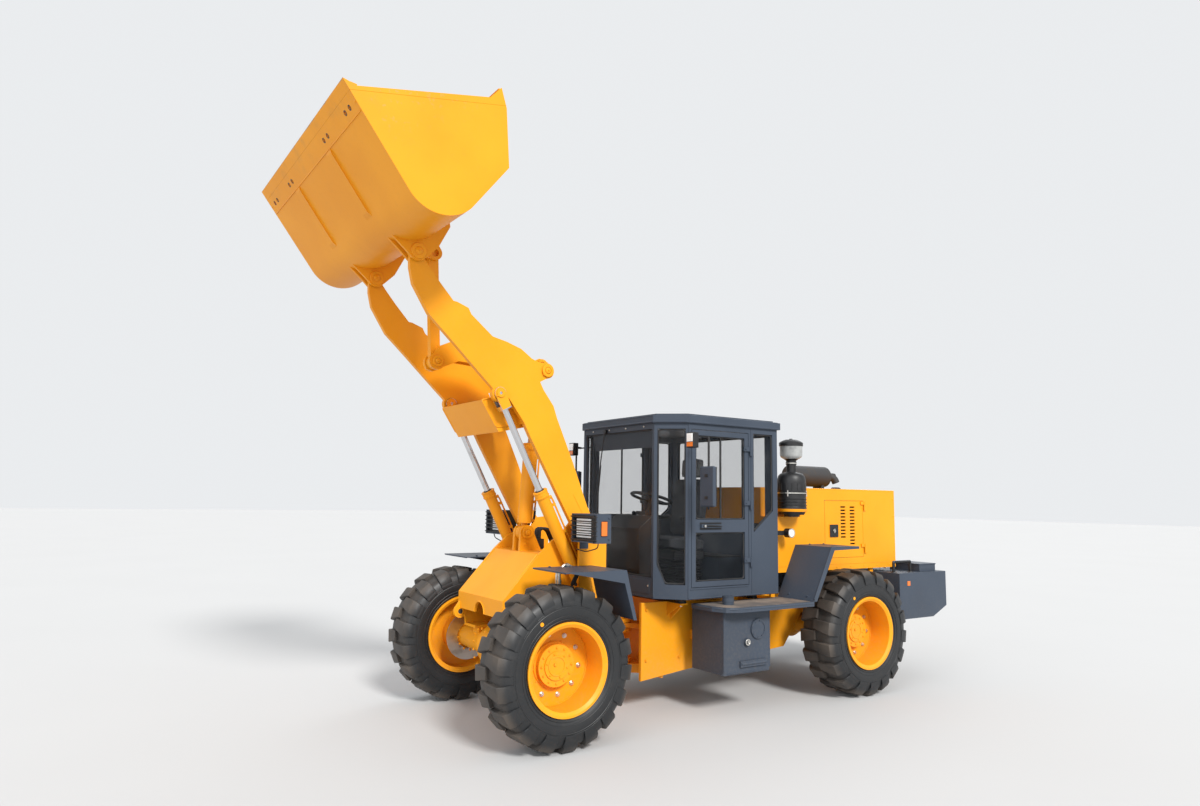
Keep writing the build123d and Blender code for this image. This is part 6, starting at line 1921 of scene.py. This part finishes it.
@dataclass
class SideGear(Assembly):
    """Anti-slip step tops, tubes, tank covers, caps and steps."""


    def steps(self) -> None:
        """Step tops with their rolled edge, seams and the filler's cap."""
        self.machine.dress(Finish.GREY, "steps", "fuel_tank", "hydraulic_tank")
        low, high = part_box("steps")
        nose, inner, front = 0.170, 0.663, high.x
        for side, word in SIDES.items():
            mat = self.shape(f"step_tread_{word}", Finish.TREAD, 0.0)
            plan = [(low.x + 0.030, inner), (low.x + 0.030, high.y - 0.020), (front - nose, high.y - 0.020),
                (front - nose * 0.3 - 0.016, high.y - nose * 0.3 - 0.014),
                (front - 0.020, high.y - nose - 0.004), (front - 0.020, 0.672), (front - 0.100, inner)]
            mat.panel([(x, side * y, high.z - 0.0755) for x, y in plan], (0, 0, 0.0022))
            mat.done()
            tube = self.shape(f"step_rim_{word}", Finish.GREY, 0.0)
            edge = [(low.x + 0.006, side * (high.y - 0.010), high.z - 0.088),
                (front - nose, side * (high.y - 0.010), high.z - 0.088),
                (front - nose * 0.3 - 0.008, side * (high.y - nose * 0.3 - 0.006), high.z - 0.088),
                (front - 0.009, side * (high.y - nose - 0.002), high.z - 0.088),
                (front - 0.009, side * 0.668, high.z - 0.088)]
            tube.sweep(rounded(edge, 0.07, steps=6), 0.0135, sides=12)
            tube.done()
            self.shape(f"step_weld_{word}", Finish.GREY, 0.0).ring((front - nose - 0.12,
                side * (high.y - 0.010), high.z - 0.088), (1, 0, 0), 0.012, 0.0155, 0.006, 16).done()
            cap = self.shape(f"filler_cap_{word}", Finish.GREY, 0.001)
            at = vec(-0.225, side * 0.870, high.z)
            cap.lathe(at, (0, 0, 1), [(-0.020, 0.047), (-0.0005, 0.051), (-0.0002, 0.045), (-0.0002, 0.0),
                (-0.020, 0.0)], 36)
            cap.lathe(at, (0, 0, 1), [(-0.050, 0.046), (-0.028, 0.046), (-0.028, 0.050), (-0.050, 0.050)], 36)
            cap.done()

    def tanks(self) -> None:
        """Bolted cover, plug, drain, lower step bar and straps of both tanks."""
        for side, node in ((LEFT, "fuel_tank"), (RIGHT, "hydraulic_tank")):
            low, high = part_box(node)
            word = SIDES[side]
            face = side * 0.950
            cover = self.shape(f"tank_cover_{word}", Finish.GREY, 0.001)
            at = vec(low.x + 0.150, face + side * 0.010, 0.700)
            cover.ring(at, (0, side, 0), 0.070, 0.083, 0.004, 44)
            for turn in turns(8, 0.2):
                cover.bolt(at + vec(0.070 * cos(turn), 0, 0.070 * sin(turn)), (0, side, 0), 0.0075)
            cover.sweep([(low.x + 0.070, face + side * 0.013, 0.425),
                (high.x - 0.180, face + side * 0.013, 0.425)], 0.013, sides=12)
            for x in (low.x + 0.012, high.x - 0.012):
                cover.sweep([(x, face - side * 0.012, low.z + 0.03), (x, face - side * 0.012, high.z - 0.01)],
                    0.014, sides=10)
            cover.sweep([(low.x + 0.03, face + side * 0.001, low.z + 0.012),
                (high.x - 0.03, face + side * 0.001, low.z + 0.012)], 0.005, sides=8)
            cover.done()
            plug = self.shape(f"tank_plug_{word}", Finish.ZINC, 0.001)
            spot = vec(high.x - 0.250, face + side * 0.020, 0.600)
            plug.ring(spot, (0, side, 0), 0.016, 0.0275, 0.006, 30)
            plug.rod(spot, spot + vec(0, side * 0.012, 0), 0.012, sides=6)
            plug.done()
            self.shape(f"tank_drain_{word}", Finish.CAST, 0.001).rod((low.x + 0.27, side * 0.80,
                low.z - 0.004), (low.x + 0.27, side * 0.80, low.z + 0.004),
                0.030).rod((low.x + 0.27, side * 0.80, low.z - 0.016),
                (low.x + 0.27, side * 0.80, low.z - 0.004), 0.014, sides=6).done()

    def build(self) -> None:
        """Make the side gear."""
        self.steps()
        self.tanks()


@dataclass
class Tail(Assembly):
    """Reflectors, lamps, lids, rails and hitch pin of the counterweight, and the rear frame's trim."""


    def build(self) -> None:
        """Finish the castings and make the trim."""
        self.machine.dress(Finish.GREY, "counterweight")
        self.machine.dress(Finish.YELLOW, "rear_frame")
        low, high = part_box("counterweight")
        top = 1.080
        box_rear, box_front = low.x + 0.090, low.x + 0.360
        for side, word in SIDES.items():
            glow = self.shape(f"side_reflector_{word}", Finish.AMBER, 0.002)
            y = side * high.y
            glow.box((high.x - 0.170, y - side * 0.002, 0.955), (high.x - 0.125, y + side * 0.0035, 1.000))
            glow.done()
            self.shape(f"tail_lamp_{word}", Finish.RED, 0.003).box((box_rear - 0.012, side * 0.520,
                top + 0.014), (box_rear, side * 0.640, top + 0.062)).done()
            self.shape(f"turn_lamp_{word}", Finish.AMBER, 0.003).box((box_rear - 0.012, side * 0.650,
                top + 0.014), (box_rear, side * 0.800, top + 0.062)).done()
            lid = self.shape(f"tool_box_lid_{word}", Finish.GREY, 0.003)
            lid.box((box_rear - 0.006, side * 0.474, top + 0.068),
                (box_front + 0.006, side * 0.846, top + 0.080))
            for x in (box_rear + 0.06, box_front - 0.06):
                lid.rod((x - 0.02, side * 0.474, top + 0.070), (x + 0.02, side * 0.474, top + 0.070), 0.007,
                    sides=10)
            lid.done()
            rail = self.shape(f"rear_handrail_{word}", Finish.PLASTIC, 0.0)
            front_x, rear_x, crown = high.x - 0.060, high.x - 0.330, top + 0.1035
            rail.sweep(rounded([(front_x, side * 0.790, top + 0.001), (front_x, side * 0.790, crown),
                (rear_x, side * 0.790, crown), (rear_x, side * 0.790, top + 0.001)], 0.012, steps=6), 0.0144,
                sides=14)
            for x in (front_x, rear_x):
                rail.lathe((x, side * 0.790, top), (0, 0, 1),
                    [(0, 0), (0, 0.028), (0.005, 0.026), (0.006, 0)], 24)
            rail.done()
            bolts = self.shape(f"counterweight_bolts_{word}", Finish.ZINC, 0.001)
            for x in (high.x - 0.42, high.x - 0.50):
                bolts.bolt((x, side * 0.36, top), (0, 0, 1), 0.018)
            bolts.done()
        chamfer = self.shape("counterweight_edges", Finish.GREY, 0.0)
        for side in SIDES:
            y = side * (high.y - 0.005)
            chamfer.sweep([(high.x - 0.006, y, top - 0.005), (low.x + 0.007, y, top - 0.005),
                (low.x + 0.007, y, 0.735)], 0.006, sides=8)
        chamfer.sweep([(low.x + 0.006, -high.y + 0.006, top - 0.005),
            (low.x + 0.006, high.y - 0.006, top - 0.005)], 0.006, sides=8)
        chamfer.done()
        pin = self.shape("hitch_pin", Finish.ZINC, 0.001)
        at = vec(low.x + 0.070, 0, 0)
        pin.rod(at + vec(0, 0, 0.690), at + vec(0, 0, top + 0.004), 0.0195, sides=28)
        pin.rod(at + vec(0, 0, top), at + vec(0, 0, top + 0.010), 0.034, sides=28)
        loop = [at + vec(0.030 * sin(turn), 0.027 * cos(turn), top + 0.040 + 0.030 * cos(turn))
            for turn in turns(28)]
        pin.sweep(loop, 0.006, True, 10)
        pin.done()
        self.pivot()

    def pivot(self) -> None:
        """Steering pivot caps, the frame's web beads and bolts, the drive shaft and the gearbox."""
        steer = self.machine.joints["steer"]
        caps = self.shape("pivot_caps", Finish.YELLOW, 0.001)
        for z, up in ((0.732, 1), (0.213, -1)):
            spot = vec(steer.x, 0, z)
            caps.ring(spot, (0, 0, up), 0.020, 0.044, 0.006, 36)
            for turn in turns(4, 0.4):
                caps.bolt(spot + vec(0.031 * cos(turn), 0.031 * sin(turn), up * 0.004), (0, 0, up), 0.006)
        caps.done()
        beads = self.shape("rear_frame_welds", Finish.YELLOW, 0.0)
        for side in SIDES:
            y = side * 0.421
            beads.sweep([(0.350, y, 0.262), (0.350, y, 0.894)], 0.004, sides=8)
            for x in (0.300, -0.060):
                beads.bolt((x, side * 0.420, 0.840), (0, side, 0), 0.013)
                beads.bolt((x, side * 0.420, 0.420), (0, side, 0), 0.013)
        beads.done()
        shaft = self.shape("drive_shaft", Finish.CAST, 0.002)
        axle = self.machine.joints["roll_rear_left"]
        shaft.rod((axle.x + 0.245, 0, axle.z), (axle.x + 0.300, 0, axle.z), 0.075, sides=32)
        shaft.rod((axle.x + 0.295, 0, axle.z), (axle.x + 0.900, 0, axle.z + 0.02), 0.042, sides=28)
        shaft.rod((axle.x + 0.890, 0, axle.z + 0.02), (axle.x + 0.950, 0, axle.z + 0.02), 0.072, sides=32)
        shaft.done()
        box = self.shape("gearbox", Finish.CAST, 0.012)
        box.box((axle.x + 0.948, -0.230, axle.z - 0.190), (axle.x + 1.420, 0.230, axle.z + 0.290))
        box.rod((axle.x + 1.415, 0, axle.z + 0.020), (axle.x + 1.470, 0, axle.z + 0.020), 0.080, sides=32)
        box.box((axle.x + 1.130, -0.396, axle.z + 0.060), (axle.x + 1.210, 0.396, axle.z + 0.120))
        for i in range(5):
            box.box((axle.x + 1.00 + 0.085 * i, -0.240, axle.z - 0.150),
                (axle.x + 1.015 + 0.085 * i, 0.240, axle.z + 0.240))
        box.done()


# ---------------------------------------------------------------- studio and camera
@dataclass
class Studio:
    """Pale floor and backdrop with soft lights."""

    reach: float = 90.0
    sky: float = 0.86

    def floor(self) -> None:
        """A wide pale floor."""
        bm = bmesh.new()
        bmesh.ops.create_grid(bm, x_segments=2, y_segments=2, size=self.reach)
        mesh = bpy.data.meshes.new("studio_floor")
        bm.to_mesh(mesh)
        bm.free()
        floor = bpy.data.objects.new("studio_floor", mesh)
        bpy.context.scene.collection.objects.link(floor)
        g = Graph("studio_white")
        tone = g.blend(g.noise(0.4, 2), (0.52, 0.52, 0.52), (0.50, 0.50, 0.50))
        mesh.materials.append(g.principled(Base_Color=tone, Roughness=0.85))

    def world(self) -> None:
        """An even bright sky."""
        world = bpy.data.worlds.new("studio_sky")
        world.use_nodes = True
        sky = world.node_tree.nodes["Background"]
        sky.inputs["Color"].default_value = (0.96, 0.98, 1.0, 1.0)
        sky.inputs["Strength"].default_value = self.sky
        bpy.context.scene.world = world

    def sun(self, name: str, towards: Point, strength: float, spread: float, colour: Colour) -> None:
        """A broad soft light from one direction, as strong at the bucket as at the tyres.

        Args:
            name: The light's name.
            towards: Direction from the machine to the light.
            strength: Irradiance in watts per square metre.
            spread: Width of the source in degrees.
            colour: Its colour.
        """
        data = bpy.data.lights.new(name, "SUN")
        data.energy, data.angle, data.color = strength, radians(spread), colour
        lamp = bpy.data.objects.new(name, data)
        bpy.context.scene.collection.objects.link(lamp)
        lamp.matrix_world = Vector(towards).to_track_quat("Z", "Y").to_matrix().to_4x4()

    def build(self) -> None:
        """Floor, sky and lights, with a neutral view transform."""
        self.floor()
        self.world()
        self.sun("key", (0.10, 0.80, 0.62), 3.5, 14.0, (1.0, 0.985, 0.96))
        self.sun("fill", (0.85, 0.30, 0.40), 0.8, 40.0, (0.90, 0.95, 1.0))
        self.sun("rim", (-0.75, -0.45, 0.55), 0.4, 25.0, (0.96, 0.98, 1.0))
        view = bpy.context.scene.view_settings
        view.view_transform, view.look, view.exposure = "Standard", "None", 0.0


@dataclass(frozen=True)
class Viewpoint:
    """The camera's place, aim and lens."""

    at: Point = (4.5920, 6.0423, 1.7752)
    yaw: float = radians(236.077)
    pitch: float = radians(6.777)
    roll: float = radians(0.919)
    lens: float = 24.23

    def build(self) -> None:
        """Put the camera in the scene."""
        ahead = vec(cos(self.yaw) * cos(self.pitch), sin(self.yaw) * cos(self.pitch), sin(self.pitch))
        right = ahead.cross(vec(0, 0, 1)).normalized()
        up = right.cross(ahead)
        across = right * cos(self.roll) + up * sin(self.roll)
        upward = up * cos(self.roll) - right * sin(self.roll)
        data = bpy.data.cameras.new("viewpoint")
        data.lens, data.sensor_width, data.clip_end = self.lens, 36.0, 200.0
        camera = bpy.data.objects.new("viewpoint", data)
        bpy.context.scene.collection.objects.link(camera)
        turn = Matrix((across, upward, -ahead)).transposed()
        camera.matrix_world = Matrix.Translation(Vector(self.at)) @ turn.to_4x4()
        bpy.context.scene.camera = camera


def main() -> None:
    """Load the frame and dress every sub-assembly."""
    logging.basicConfig(level=logging.INFO, format="%(message)s")
    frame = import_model()
    machine = Machine(frame)
    Studio().build()
    Viewpoint().build()
    for end in ("front", "rear"):
        for side in SIDES:
            Wheel(machine, end, side).build()
    Bucket(machine).build()
    LoaderArms(machine).build()
    for side, word in SIDES.items():
        Cylinder(machine, f"lift_barrel_{word}", f"lift_rod_{word}", f"lift_swing_{word}",
            f"lift_stroke_{word}", 0.050, 1.018, 0.026, pi).build()
    Cylinder(machine, "tilt_barrel", "tilt_rod", "tilt_swing", "tilt_stroke", 0.062, 0.748, 0.032, pi).build()
    for part in (Forks, FrontChassis, Headlights, Fenders, Cab, Interior, Hood, AirCleaner, SideGear, Tail):
        part(machine).build()


if __name__ == "__main__":
    main()
